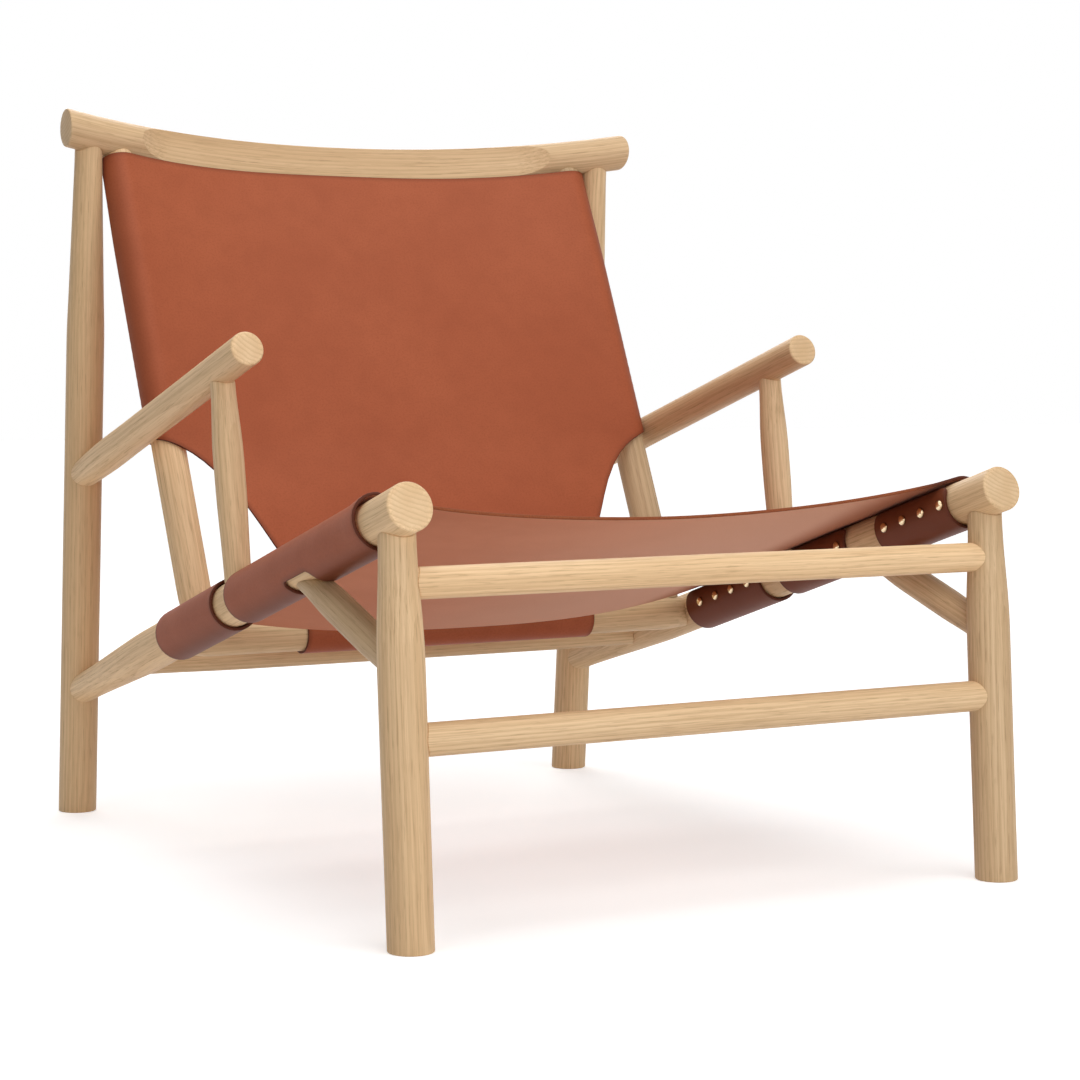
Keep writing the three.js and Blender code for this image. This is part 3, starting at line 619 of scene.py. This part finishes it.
# %% Side frame sizes
shift = -0.00187
side_x, arm_x, upright_x = 0.3305, 0.3329, 0.2942
rail_slope = radians(16.75)
rail_front = (-0.4249 + shift, 0.3937)
leg_lean, leg_foot_y = 0.06805, -0.4232 + shift
post_lean, post_foot_y = -0.08187, 0.4268 + shift
arm_slope, arm_front = -0.3022, (-0.080 + shift, 0.5326)


def rail_z(y):
    return rail_front[1] - (y - rail_front[0]) * tan(rail_slope)


def arm_z(y):
    return arm_front[1] + arm_slope * (y - arm_front[0])


leg_top_z = rail_z(leg_foot_y) / (1 + leg_lean * tan(rail_slope))
rail_end_z = rail_z(post_foot_y) / (1 + post_lean * tan(rail_slope))
rail_length = (post_foot_y + post_lean * rail_end_z - rail_front[0]) / cos(rail_slope)
arm_end_z = arm_z(post_foot_y) / (1 - post_lean * arm_slope)
rail_direction = Vector((0, cos(rail_slope), -sin(rail_slope)))
rail_up = Vector((0, sin(rail_slope), cos(rail_slope)))
rear_rail_y = 0.1346 + shift
rear_rail = (rear_rail_y, rail_z(rear_rail_y))
back_lean = radians(24.3)
back_up = Vector((0, sin(back_lean), cos(back_lean)))
back_out = Vector((0, -cos(back_lean), sin(back_lean)))


def rail_point(x, along):
    return Vector((x, *rail_front)) + rail_direction * along


def back_point(x, height):
    return Vector((x, *rear_rail)) + back_up * height


print("the side rail is", round(rail_length, 4), "m long and ends at height", round(rail_end_z, 4))

# %% [markdown]
# ## The bowed top rail
#
# This is the piece that takes most skill: a bar bent in plan and dipped in the
# middle, with a long flat scooped out of its front for the shoulders. It is lofted
# from rings square to its curved centre line. Each ring is cut flat towards the
# sitter, at a distance that grows to the full radius where the scoop runs out.

# %% Centre line and rings of the top rail
top_half, top_radius = 0.361, 0.021
top_end = (0.354 + shift, 0.779)
top_bow, bow_power = 0.066, 1.95
top_dip, dip_power = 0.0245, 2.22
scoop_distance, scoop_half, scoop_run_radius = 0.0095, 0.221, 0.120
scoop_depth = top_radius - scoop_distance
scoop_run_out = sqrt(2 * scoop_run_radius * scoop_depth - scoop_depth**2)
scoop_tilt, end_tilt = radians(13), radians(3)
skew_length, end_rounding = 0.045, 0.0022
top_heart = Vector((0.02, 0.11, 7))


def top_centre(x):
    outward = abs(x) / top_half
    back, down = top_bow * (1 - outward**bow_power), top_dip * (1 - outward**dip_power)
    return Vector((x, top_end[0] + back, top_end[1] - down))


def top_tangent(x):
    return (top_centre(x + 4e-4) - top_centre(x - 4e-4)).normalized()


def scoop_distance_at(x):
    past = max(abs(x) - scoop_half, 0)
    if past >= scoop_run_out:
        return top_radius
    return scoop_distance + scoop_run_radius - sqrt(scoop_run_radius**2 - past**2)


def top_ring(x, radius, face_steps=14, back_steps=50):
    tangent = top_tangent(x)
    face = Vector((0, -cos(scoop_tilt), sin(scoop_tilt)))
    face = (face - tangent * face.dot(tangent)).normalized()
    across = tangent.cross(face)
    distance = scoop_distance_at(x)
    half = max(acos(min(distance / top_radius, 1)), radians(4))
    angles = [atan(tan(half) * (2 * k / face_steps - 1)) for k in range(face_steps)]
    angles += [half + (2 * pi - 2 * half) * k / back_steps for k in range(back_steps)]
    saw = Vector((copysign(cos(end_tilt), x), sin(end_tilt), 0))
    skewed = held((abs(x) - top_half) / skew_length + 1)
    points, wood = [], []
    for k, angle in enumerate(angles):
        reach = min(radius, distance / cos(angle)) if k < face_steps else radius
        forward, upward = reach * cos(angle), reach * sin(angle)
        sideways = face * forward + across * upward
        slip = -sideways.dot(saw) / tangent.dot(saw) * skewed
        points.append(top_centre(x) + sideways + tangent * slip)
        wood.append(Vector((forward, upward, x + slip)) + top_heart)
    return points, wood


def top_stations():
    """The place and radius of each ring, closer together where the form turns."""
    side = []
    for degrees in (0, 30, 60, 90):
        angle = radians(degrees)
        x = top_half - end_rounding * (1 - cos(angle))
        side.append((x, top_radius - end_rounding * (1 - sin(angle))))
    marks = (side[-1][0], scoop_half + scoop_run_out, scoop_half, 0.0)
    for first, last, count in zip(marks, marks[1:], (10, 22, 34)):
        side += [(x, top_radius) for x in np.linspace(first, last, count)[1:]]
    return [(-x, radius) for x, radius in side[:-1]] + side[::-1]


rings = [top_ring(x, radius) for x, radius in top_stations()]
around = len(rings[0][0])
points = [p for ring, _ in rings for p in ring]
wood = [w for _, ring in rings for w in ring]
faces = tube_faces(len(rings), around)
dress_oak(smooth_piece("top_rail_shaped", points, faces, [oak], 24), "top_rail", wood, around)
print("the scoop runs out", round(scoop_half + scoop_run_out, 4), "m from the middle")

# %% Turn the sticks of both side frames
def tapered(length, start, middle, end, shares):
    radii = start, start, middle, middle, end, end
    return [(length * share, radius) for share, radius in zip((0, *shares, 1), radii)]


def top_host(x):
    return top_centre(x), top_tangent(x), top_radius


upright_length = (top_centre(upright_x) - back_point(upright_x, 0)).dot(back_up)
upright_radius = 0.0184
upright_profile = [(0, 0.0166), (0.028, 0.0166), (0.052, upright_radius), (0.450, upright_radius)]
upright_profile += [(upright_length - top_radius, 0.0168), (upright_length, 0.0168)]
support_foot_y, support_top_y = -0.0506 + shift, -0.0142 + shift
brace_foot_z, brace_top_y = 0.2495, -0.1912 + shift


def leaning(x, foot_y, lean, z):
    """A point of a leg or post at a height."""
    return Vector((x, foot_y + lean * z, z))


both_sides = (("left", -1), ("right", 1))
for side, sign in both_sides:
    x = sign * side_x
    rail_start, rail_end = rail_point(x, 0), rail_point(x, rail_length)
    names = "side_rail", "front_leg", "rear_post", "armrest"
    rail, leg, post, arm = (f"{side}_{name}" for name in names)
    even_rail = [(0, 0.0228), (0.127, 0.0225), (0.7274, 0.0225)]
    sticks[rail] = (rail_start, rail_direction, even_rail)
    leg_foot, leg_top = (leaning(x, leg_foot_y, leg_lean, z) for z in (0, leg_top_z))
    leg_length = (leg_top - leg_foot).length
    leg_profile = [(0, 0.0214), (0.255, 0.0216)]
    leg_profile += [(leg_length - before, 0.0172) for before in (0.0225, 0)]
    turned_stick(leg, leg_foot, leg_top, leg_profile, "floor", host_of(rail, leg_top))
    top_z = top_centre(side_x).z
    post_foot, post_top = (leaning(x, post_foot_y, post_lean, z) for z in (0, top_z))
    post_length = (post_top - post_foot).length
    post_profile = [(0, 0.0215), (0.545, 0.0211), (0.600, 0.0196), (0.655, 0.0180), (0.710, 0.0164)]
    post_profile += [(post_length - top_radius, 0.0153), (post_length, 0.0153)]
    turned_stick(post, post_foot, post_top, post_profile, "floor", top_host(x))
    rail_ends = ((0.245, 0.0225), (0.150, 0.0201), (0.0865, 0.0180), (0.030, 0.0168), (0, 0.0168))
    rail_profile = [(0, 0.0228), (0.04, 0.0225)]
    rail_profile += [(rail_length - before, radius) for before, radius in rail_ends]
    turned_stick(rail, rail_start, rail_end, rail_profile, None, host_of(post, rail_end))
    arm_start = Vector((sign * arm_x, *arm_front))
    arm_end = leaning(sign * arm_x, post_foot_y, post_lean, arm_end_z)
    arm_length = (arm_end - arm_start).length
    arm_ends = ((0.100, 0.0182), (0.055, 0.0175), (0.0212, 0.0163), (0, 0.0163))
    arm_profile = [(0, 0.0175), (arm_length * 0.38, 0.0176), (arm_length * 0.64, 0.0177)]
    arm_profile += [(arm_length - before, radius) for before, radius in arm_ends]
    turned_stick(arm, arm_start, arm_end, arm_profile, None, host_of(post, arm_end))
    support_foot = Vector((x, support_foot_y, rail_z(support_foot_y)))
    support_top = Vector((sign * arm_x, support_top_y, arm_z(support_top_y)))
    support_length = (support_top - support_foot).length
    support_shares = (0.1, 0.5, 0.62, 0.93)
    support_profile = tapered(support_length, 0.0137, 0.0155, 0.0125, support_shares)
    support_hosts = host_of(rail, support_foot), host_of(arm, support_top)
    turned_stick(f"{side}_arm_support", support_foot, support_top, support_profile, *support_hosts)
    brace_foot = leaning(x, leg_foot_y, leg_lean, brace_foot_z)
    brace_top = Vector((x, brace_top_y, rail_z(brace_top_y)))
    brace_length = (brace_top - brace_foot).length
    brace_profile = tapered(brace_length, 0.0146, 0.0157, 0.0138, (0.1, 0.3, 0.6, 0.84))
    brace_hosts = host_of(leg, brace_foot), host_of(rail, brace_top)
    turned_stick(f"{side}_leg_brace", brace_foot, brace_top, brace_profile, *brace_hosts)
print("turned", len(sticks), "sticks of the side frames")

# %% [markdown]
# ## Cross rails and back uprights
#
# Four rails tie the side frames together: two stretchers between the front legs, a
# low rail at the back, and the rail that carries the uprights, which the leather
# tongue goes round. The uprights lean back and end under the top rail.

# %% Turn the cross rails and the uprights
long_taper = (0.035, 0.2, 0.8, 0.965)
neck = 0.0235 / (2 * side_x)
bulge = (0.0235 + 0.012) / (2 * side_x)
rear_taper = (neck, bulge, 1 - bulge, 1 - neck)
rear_rail_radius = 0.020


def cross_rail(name, y, z, end, middle, shares, host):
    ends = [Vector((sign * side_x, y, z)) for _, sign in both_sides]
    profile = tapered(2 * side_x, end, middle, end, shares)
    hosts = [host_of(f"{side}_{host}", point) for (side, _), point in zip(both_sides, ends)]
    turned_stick(name, *ends, profile, *hosts)


stretchers = ("upper_front_stretcher", 0.3239, 0.0146), ("lower_front_stretcher", 0.1852, 0.0153)
for name, z, radius in stretchers:
    cross_rail(name, leg_foot_y + leg_lean * z, z, radius, radius, long_taper, "front_leg")
low_y = 0.250 + shift
low_z = rail_z(low_y) - 0.001
cross_rail("lower_back_rail", low_y, low_z, 0.0138, 0.015, long_taper, "side_rail")
cross_rail("seat_rear_rail", *rear_rail, 0.0176, rear_rail_radius, rear_taper, "side_rail")
for side, sign in both_sides:
    foot, top = back_point(sign * upright_x, 0), back_point(sign * upright_x, upright_length)
    hosts = host_of("seat_rear_rail", foot), top_host(sign * upright_x)
    turned_stick(f"{side}_back_upright", foot, top, upright_profile, *hosts)
print("the uprights are", round(upright_length, 4), "m long")

# %% [markdown]
# ## Cutting a hide
#
# A hide is one thick sheet, cut flat and then bent, and it is made the same way: an
# outline is drawn on the flat, its corners are rounded, the inside is filled with
# even triangles, and a placing rule carries each flat point to its place on the
# chair. The sheet then gets its thickness and a rounded rim. Cloth would stretch,
# while this leather is stiff and taut, so the bend is worked out instead.

# %% Round the corners of an outline and walk along it
def rounded_outline(corners, arc_steps=7):
    """corners lists (across, along, radius); each corner becomes an arc."""
    loop = []
    for k, (x, y, radius) in enumerate(corners):
        here = np.array((x, y))
        back = np.array(corners[k - 1][:2]) - here
        ahead = np.array(corners[(k + 1) % len(corners)][:2]) - here
        back_size, ahead_size = np.linalg.norm(back), np.linalg.norm(ahead)
        back, ahead = back / back_size, ahead / ahead_size
        turn = acos(float(np.clip(back @ ahead, -1, 1)))
        if radius <= 0 or turn > radians(178):
            loop.append(here)
            continue
        reach = min(radius / tan(turn / 2), back_size * 0.49, ahead_size * 0.49)
        real = reach * tan(turn / 2)
        middle = here + (back + ahead) / np.linalg.norm(back + ahead) * real / sin(turn / 2)
        first, last = here + back * reach - middle, here + ahead * reach - middle
        sweep = atan2(first[0] * last[1] - first[1] * last[0], first @ last)
        for step in range(arc_steps + 1):
            angle = sweep * step / arc_steps
            c, s = cos(angle), sin(angle)
            x, y = first
            loop.append(middle + np.array((c * x - s * y, s * x + c * y)))
    return loop


def walked(loop, spacing):
    points = []
    for k, here in enumerate(loop):
        ahead = loop[(k + 1) % len(loop)]
        count = max(int(round(np.linalg.norm(ahead - here) / spacing)), 1)
        points += [here + (ahead - here) * step / count for step in range(count)]
    return np.array(points)


def distance_to(points, loop):
    """The distance of each flat point from a closed line."""
    nearest = np.full(len(points), 1e9)
    for k in range(len(loop)):
        a, b = loop[k - 1], loop[k]
        line = b - a
        share = np.clip(((points - a) @ line) / max(line @ line, 1e-18), 0, 1)
        nearest = np.minimum(nearest, np.linalg.norm(points - a - share[:, None] * line, axis=1))
    return nearest


def mirrored(right):
    """The whole outline from the corners of its right half."""
    return right + [(-x, y, radius) for x, y, radius in reversed(right)]


square = rounded_outline(mirrored([(1, 0, 0.1), (1, 2, 0.1)]))
print("a square of side 2 with rounded corners has", len(square), "points")

# %% Fill, bend and thicken a hide
spacing = 0.0065
border_spacing, row_spacing, clear_of_border = 0.75, 0.87, 0.6
rim_steps = ((0.5, 0.45), (0.28, 0.9), (-0.28, 0.9), (-0.5, 0.45))
rim_roundness, rim_thickness = 0.28, 0.97
probe_step, flesh_depth = 1e-4, 0.4


def cut_hide(name, node, corners, placed, thickness, leather, rests):
    """placed carries (across, along) on the flat to a place and a normal on the chair."""
    rim = walked(np.array(rounded_outline(corners)), spacing * border_spacing)
    low, high = rim.min(axis=0), rim.max(axis=0)
    columns = np.arange(low[0], high[0], spacing)
    rows = np.arange(low[1], high[1], spacing * row_spacing)
    grid = np.array([(x + spacing / 2 * (j % 2), y) for j, y in enumerate(rows) for x in columns])
    inside = grid[distance_to(grid, rim) > spacing * clear_of_border]
    flat = [Vector(p) for p in np.vstack((rim, inside))]
    border = [(k, (k + 1) % len(rim)) for k in range(len(rim))]
    flat, _, faces = delaunay_2d_cdt(flat, border, [list(range(len(rim)))], 1, 1e-7)[:3]
    flat = np.array([tuple(p) for p in flat])
    count = len(flat)
    seats = [placed(x, y) for x, y in flat]
    centre = np.array([tuple(p) for p, _ in seats])
    normal = np.array([tuple(n) for _, n in seats])
    points = list(centre + normal * thickness / 2) + list(centre - normal * thickness / 2)
    made, finish = [], []
    used = {}
    for face in faces:
        a, b, c = face
        u, v = flat[b] - flat[a], flat[c] - flat[a]
        if u[0] * v[1] - u[1] * v[0] < 0:
            a, b, c = a, c, b
        made += [(a, b, c), (a + count, c + count, b + count)]
        finish += [0, 1]
        used.update(dict.fromkeys(((a, b), (b, c), (c, a))))
    lone = [(a, b) for a, b in used if (b, a) not in used]
    after = {a: b for a, b in lone}
    before = {b: a for a, b in lone}
    soft = thickness * rim_roundness
    ring = {}
    for k in after:
        along = flat[after[k]] - flat[before[k]]
        out = np.array((along[1], -along[0])) / max(np.linalg.norm(along), 1e-9)
        probe = np.array(placed(*(flat[k] + out * probe_step))[0]) - centre[k]
        outward = probe / max(np.linalg.norm(probe), 1e-12)
        ring[k] = len(points)
        for share, push in rim_steps:
            across = normal[k] * thickness * share * rim_thickness
            points.append(centre[k] + across + outward * soft * push)
    for edge in lone:
        a, b = ([k, *range(ring[k], ring[k] + len(rim_steps)), k + count] for k in edge)
        made += [(a[i], a[i + 1], b[i + 1], b[i]) for i in range(len(rim_steps) + 1)]
        finish += [2] * (len(rim_steps) + 1)
    piece = smooth_piece(name, points, made, leather, 60)
    piece.data.polygons.foreach_set("material_index", finish)
    cut = distance_to(flat, rim)
    lay = [(x, y, depth) for depth in (0, flesh_depth) for x, y in flat]
    edge = list(cut) * 2
    for k in after:
        lay += [(*flat[k], 0.001 * step) for step in range(len(rim_steps))]
        edge += [0.0] * len(rim_steps)
    store(piece, "lay", lay)
    store(piece, "edge", edge)
    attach(piece, "root")
    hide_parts(node)


# %% [markdown]
# ## How leather hangs between two sticks
#
# Across the chair each hide leaves one stick, sags a little and meets the other. Its
# height follows a power of the distance from the middle. The angle at which it
# leaves the stick is found by trial, so that the sheet has no kink where it lets go.

# %% A slung section
def slung(radius, span, centre, power):
    leave = 0.0
    for _ in range(14):
        height, width = radius * cos(leave) - centre, span - radius * sin(leave)
        leave = atan(power * height / width)
    return radius, span, centre, power, leave


def on_span(section, inward):
    radius, span, centre, power, leave = section
    start = radius * sin(leave)
    share = max((span - inward) / (span - start), 0)
    steep = tan(leave) * share ** (power - 1)
    size = hypot(steep, 1)
    out = centre + (radius * cos(leave) - centre) * share**power
    return (inward, out), (steep / size, 1 / size)


def section_point(section, across, span_width, wrap_width, last_angle):
    """A place on the flat, measured from the middle, as (inward, out) and its normal."""
    radius, span, _, _, leave = section
    if across <= span_width:
        start = radius * sin(leave)
        return on_span(section, span - (span - start) * across / span_width)
    first = radians(270) + leave
    angle = first + (radians(last_angle) - first) * (across - span_width) / wrap_width
    normal = cos(angle), -sin(angle)
    return (radius * normal[0], radius * normal[1]), normal


level_leave = slung(0.025, 0.33, 0.0, 2)[-1] * 180 / pi
print("a level sheet leaves its stick at", round(level_leave, 1), "degrees")

# %% [markdown]
# ## The seat hide
#
# The seat wraps both side rails. A notch for the brace and a slit for the armrest's
# support leave three tabs on each side, which come round to the inner side of the
# rails, where studs hold them. At the front the sleeve stands a little off the wood,
# as stiff leather does, and the edge is curved, to spare the sitter's legs.

# %% Cut and hang the seat
seat_thickness = 0.0032
rail_radius, under_seat = 0.0225, 0.0013
seat_radius = rail_radius + under_seat + seat_thickness / 2
seat_front = 0.060
seat_rear = (rear_rail[0] - rail_front[0]) / cos(rail_slope) - 0.0273
notch, slit = (0.180, 0.238), (0.368, 0.406)
wrap_start, tab_end, notch_top, slit_inset = 274, -40, 142, 0.015
seat_span_width = 0.322
seat_wrap_width = seat_radius * radians(wrap_start - tab_end)
middle_front, middle_rear, belly = 0.0034, -0.0091, 0.008
front_power, power_growth = 1.8, 0.8
front_curve, rear_curve, curve_past = 0.037, 0.006, 0.01
sleeve_mouth, mouth_depth = 0.0024, 0.022
mouth_before, mouth_rise, mouth_past, mouth_fall = 0.020, 0.040, 0.062, 0.030


def seat_section(share):
    centre = middle_front + (middle_rear - middle_front) * share
    centre -= belly * sin(pi * held(share))
    return slung(seat_radius, side_x, centre, front_power + power_growth * share)


def seat_place(across, along):
    sign = -1 if across < 0 else 1
    share = (along - seat_front) / (seat_rear - seat_front)
    section = seat_section(share)
    point, normal = section_point(section, abs(across), seat_span_width, seat_wrap_width, tab_end)
    past_span = abs(across) - seat_span_width
    bend = 1 - held(1 - point[0] / side_x) ** 5 if past_span < curve_past else 0
    front_fade = max(1 - (along - seat_front) / (notch[0] - seat_front), 0)
    rear_fade = max(1 - (seat_rear - along) / (seat_rear - slit[1]), 0)
    loose = held((past_span + mouth_before) / mouth_rise)
    loose *= held((mouth_past - past_span) / mouth_fall)
    stand_off = sleeve_mouth * loose * exp(-((along - seat_front) / mouth_depth) ** 2)
    along = along + bend * (front_curve * front_fade - rear_curve * rear_fade)
    point = (point[0] + normal[0] * stand_off, point[1] + normal[1] * stand_off)
    place = rail_point(sign * (side_x - point[0]), along) + rail_up * point[1]
    return place, Vector((-sign * normal[0], 0, 0)) + rail_up * normal[1]


def seat_corners():
    wide = seat_span_width + seat_wrap_width
    wrapped = (wrap_start - notch_top) / (wrap_start - tab_end)
    notch_at = seat_span_width + seat_wrap_width * wrapped
    slit_at = seat_span_width - slit_inset
    right = [(wide, seat_front, 0.006), (wide, notch[0], 0.006)]
    right += [(notch_at, notch[0], 0.007), (notch_at, notch[1], 0.007)]
    right += [(wide, notch[1], 0.006), (wide, slit[0], 0.006)]
    right += [(slit_at, slit[0], 0.009), (slit_at, slit[1], 0.009)]
    right += [(wide, slit[1], 0.006), (wide, seat_rear, 0.006)]
    return mirrored(right)


seat_cut = seat_corners(), seat_place, seat_thickness, seat_leather
cut_hide("slung_seat", "seat_hide", *seat_cut, ["left_side_rail", "right_side_rail"])

# %% [markdown]
# ## The back hide
#
# The back wraps both uprights from the hips up, and its top edge hangs slack in a
# deep curve. Below the hips the sides are cut in along a bent line to the width of
# the tongue, which goes round the rear rail from the front, and studs hold it behind.

# %% Cut and hang the back
back_thickness = 0.0025
back_lift = 0.0005 + back_thickness / 2
back_top = upright_length - 0.0244
hip_height, tongue_half = 0.2195, 0.1795
wrap_before, wrap_end, tongue_end = 6, 205, 200
rail_lift = rear_rail_radius + back_lift
back_span_width = 0.293
back_wrap_width = (upright_radius + back_lift) * radians(wrap_end + wrap_before)
hip_line = [(0.2886, 0.213), (0.2762, 0.205), (0.2649, 0.195), (0.2517, 0.180), (0.2379, 0.160)]
hip_line += [(0.2266, 0.140), (0.2156, 0.118), (0.2034, 0.093), (0.1795, 0.050)]
hip_corners, hip_rise = [(0.012, 0.002, 0.008), (0.028, 0.009, 0.006)], 0.013
hip_bulge, bulge_power = 0.006, 1.2
slack_start, slack_depth, slack_power, back_power = 0.130, 0.050, 1.25, 2.6
top_edge_rise = 0.007


def back_section(height):
    radius = eased(upright_profile[2:], height) + back_lift
    slack = max((height - slack_start) / (back_top - slack_start), 0)
    return slung(radius, upright_x, radius - slack_depth * slack**slack_power, back_power)


def hung_share(height):
    """How wide the hung hide is, for one metre of the flat cut."""
    radius, span, _, _, leave = back_section(max(height, 0))
    return (span - radius * sin(leave)) / back_span_width


def back_place(across, height):
    sign = -1 if across < 0 else 1
    if height < 0:
        angle = -height / rail_lift
        normal = back_out * cos(angle) - back_up * sin(angle)
        return back_point(across * hung_share(0), 0) + normal * rail_lift, normal
    section = back_section(height)
    last = 270 - wrap_end
    point, normal = section_point(section, abs(across), back_span_width, back_wrap_width, last)
    out = point[1]
    if height < hip_height:
        settled = height / hip_height
        settled = settled * settled * (3 - 2 * settled)
        out += (1 - settled) * (rail_lift - upright_radius - back_lift)
        out += hip_bulge * sin(pi * height / hip_height) ** bulge_power
    else:
        share = (height - hip_height) / (back_top - hip_height)
        inward = held(point[0] / upright_x)
        height += top_edge_rise * share * (1 - (1 - inward) ** 2)
    place = back_point(sign * (upright_x - point[0]), height) + back_out * out
    return place, Vector((-sign * normal[0], 0, 0)) + back_out * normal[1]


def back_corners():
    wide = back_span_width + back_wrap_width
    foot = -rail_lift * radians(tongue_end)
    right = [(tongue_half / hung_share(0), foot, 0.006)]
    right += [(x / hung_share(s), s, 0.012) for x, s in reversed(hip_line)]
    right += [(back_span_width + x, hip_height + s, radius) for x, s, radius in hip_corners]
    right += [(wide, hip_height + hip_rise, 0.006), (wide, back_top, 0.006)]
    return mirrored(right)


back_cut = back_corners(), back_place, back_thickness, back_leather
back_rests = ["left_back_upright", "right_back_upright", "seat_rear_rail"]
cut_hide("slung_back", "back_hide", *back_cut, back_rests)

# %% [markdown]
# ## Studs
#
# Brass domes hold the hides: four on each tab under the seat, a row down the back
# of each upright and a row along the tongue. A dome is a short turning: a thin
# collar that bites into the leather, a rounded rim and the crown.

# %% Turn the studs in rows
stud_radius, stud_height, stud_rim = 0.0054, 0.0032, 0.0007


def stud_points(point, normal, around=28):
    """Rings of a dome on a collar; returns points, faces and how far down each point is."""
    side = normal.orthogonal().normalized()
    other = normal.cross(side)
    rings = [(stud_radius * 0.86, -0.0012), (stud_radius * 0.9, 0.0)]
    rings += [(stud_radius, stud_rim * 0.3), (stud_radius, stud_rim)]
    for degrees in range(12, 90, 13):
        angle = radians(degrees)
        height = stud_rim + (stud_height - stud_rim) * sin(angle)
        rings.append((stud_radius * 0.985 * cos(angle), height))
    points, down = [], []
    for radius, height in rings:
        for k in range(around):
            turn = 2 * pi * k / around
            spoke = side * cos(turn) + other * sin(turn)
            points.append(point + normal * height + spoke * radius)
            down.append(1 - max(height, 0) / stud_height)
    return points, tube_faces(len(rings), around), down


def stud_row(name, places, drawn):
    """Studs as one piece; drawn is how many of them the joiner drew as solids."""
    points, faces, down = [], [], []
    for point, normal in places:
        more, cells, rim = stud_points(point, normal)
        faces += [tuple(k + len(points) for k in face) for face in cells]
        points += more
        down += rim
    piece = smooth_piece(name + "s", points, faces, [brass], 70)
    store(piece, "lay", points)
    store(piece, "edge", down)
    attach(piece, "root")
    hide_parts(*[f"{name}_{k + 1}" for k in range(drawn)])
    return len(places)


def evenly(first, last, count):
    return [first + (last - first) * k / (count - 1) for k in range(count)]


tabs = {
    "front": (seat_front + 0.008, notch[0] - 0.017),
    "middle": (notch[1] + 0.012, slit[0] - 0.018),
    "rear": (slit[1] + 0.021, seat_rear - 0.030),
}
turn = radians(178)
row_start, row_end, row_inset = 0.250, back_top - 0.019, 0.0395
stud_count = 0
for side, sign in both_sides:
    inward = Vector((-sign, 0, 0))
    proud = inward * (seat_radius + seat_thickness / 2)
    for tab, ends in tabs.items():
        places = [(rail_point(sign * side_x, s) + proud, inward) for s in evenly(*ends, 4)]
        stud_count += stud_row(f"{side}_{tab}_tab_stud", places, 4)
    rearward = Vector((sign * sin(turn), 0, 0)) + back_out * cos(turn)
    places = []
    for s in evenly(row_start, row_end, 9):
        lift = back_section(s)[0] + back_thickness / 2
        places.append((back_point(sign * upright_x, s) + rearward * lift, rearward))
    stud_count += stud_row(f"{side}_upright_stud", places, 5)
under = -back_out
proud = under * (rail_lift + back_thickness / 2)
reach = tongue_half - row_inset
places = [(back_point(x, 0) + proud, under) for x in evenly(-reach, reach, 9)]
stud_count += stud_row("tongue_stud", places, 5)
print("drove", stud_count, "studs")
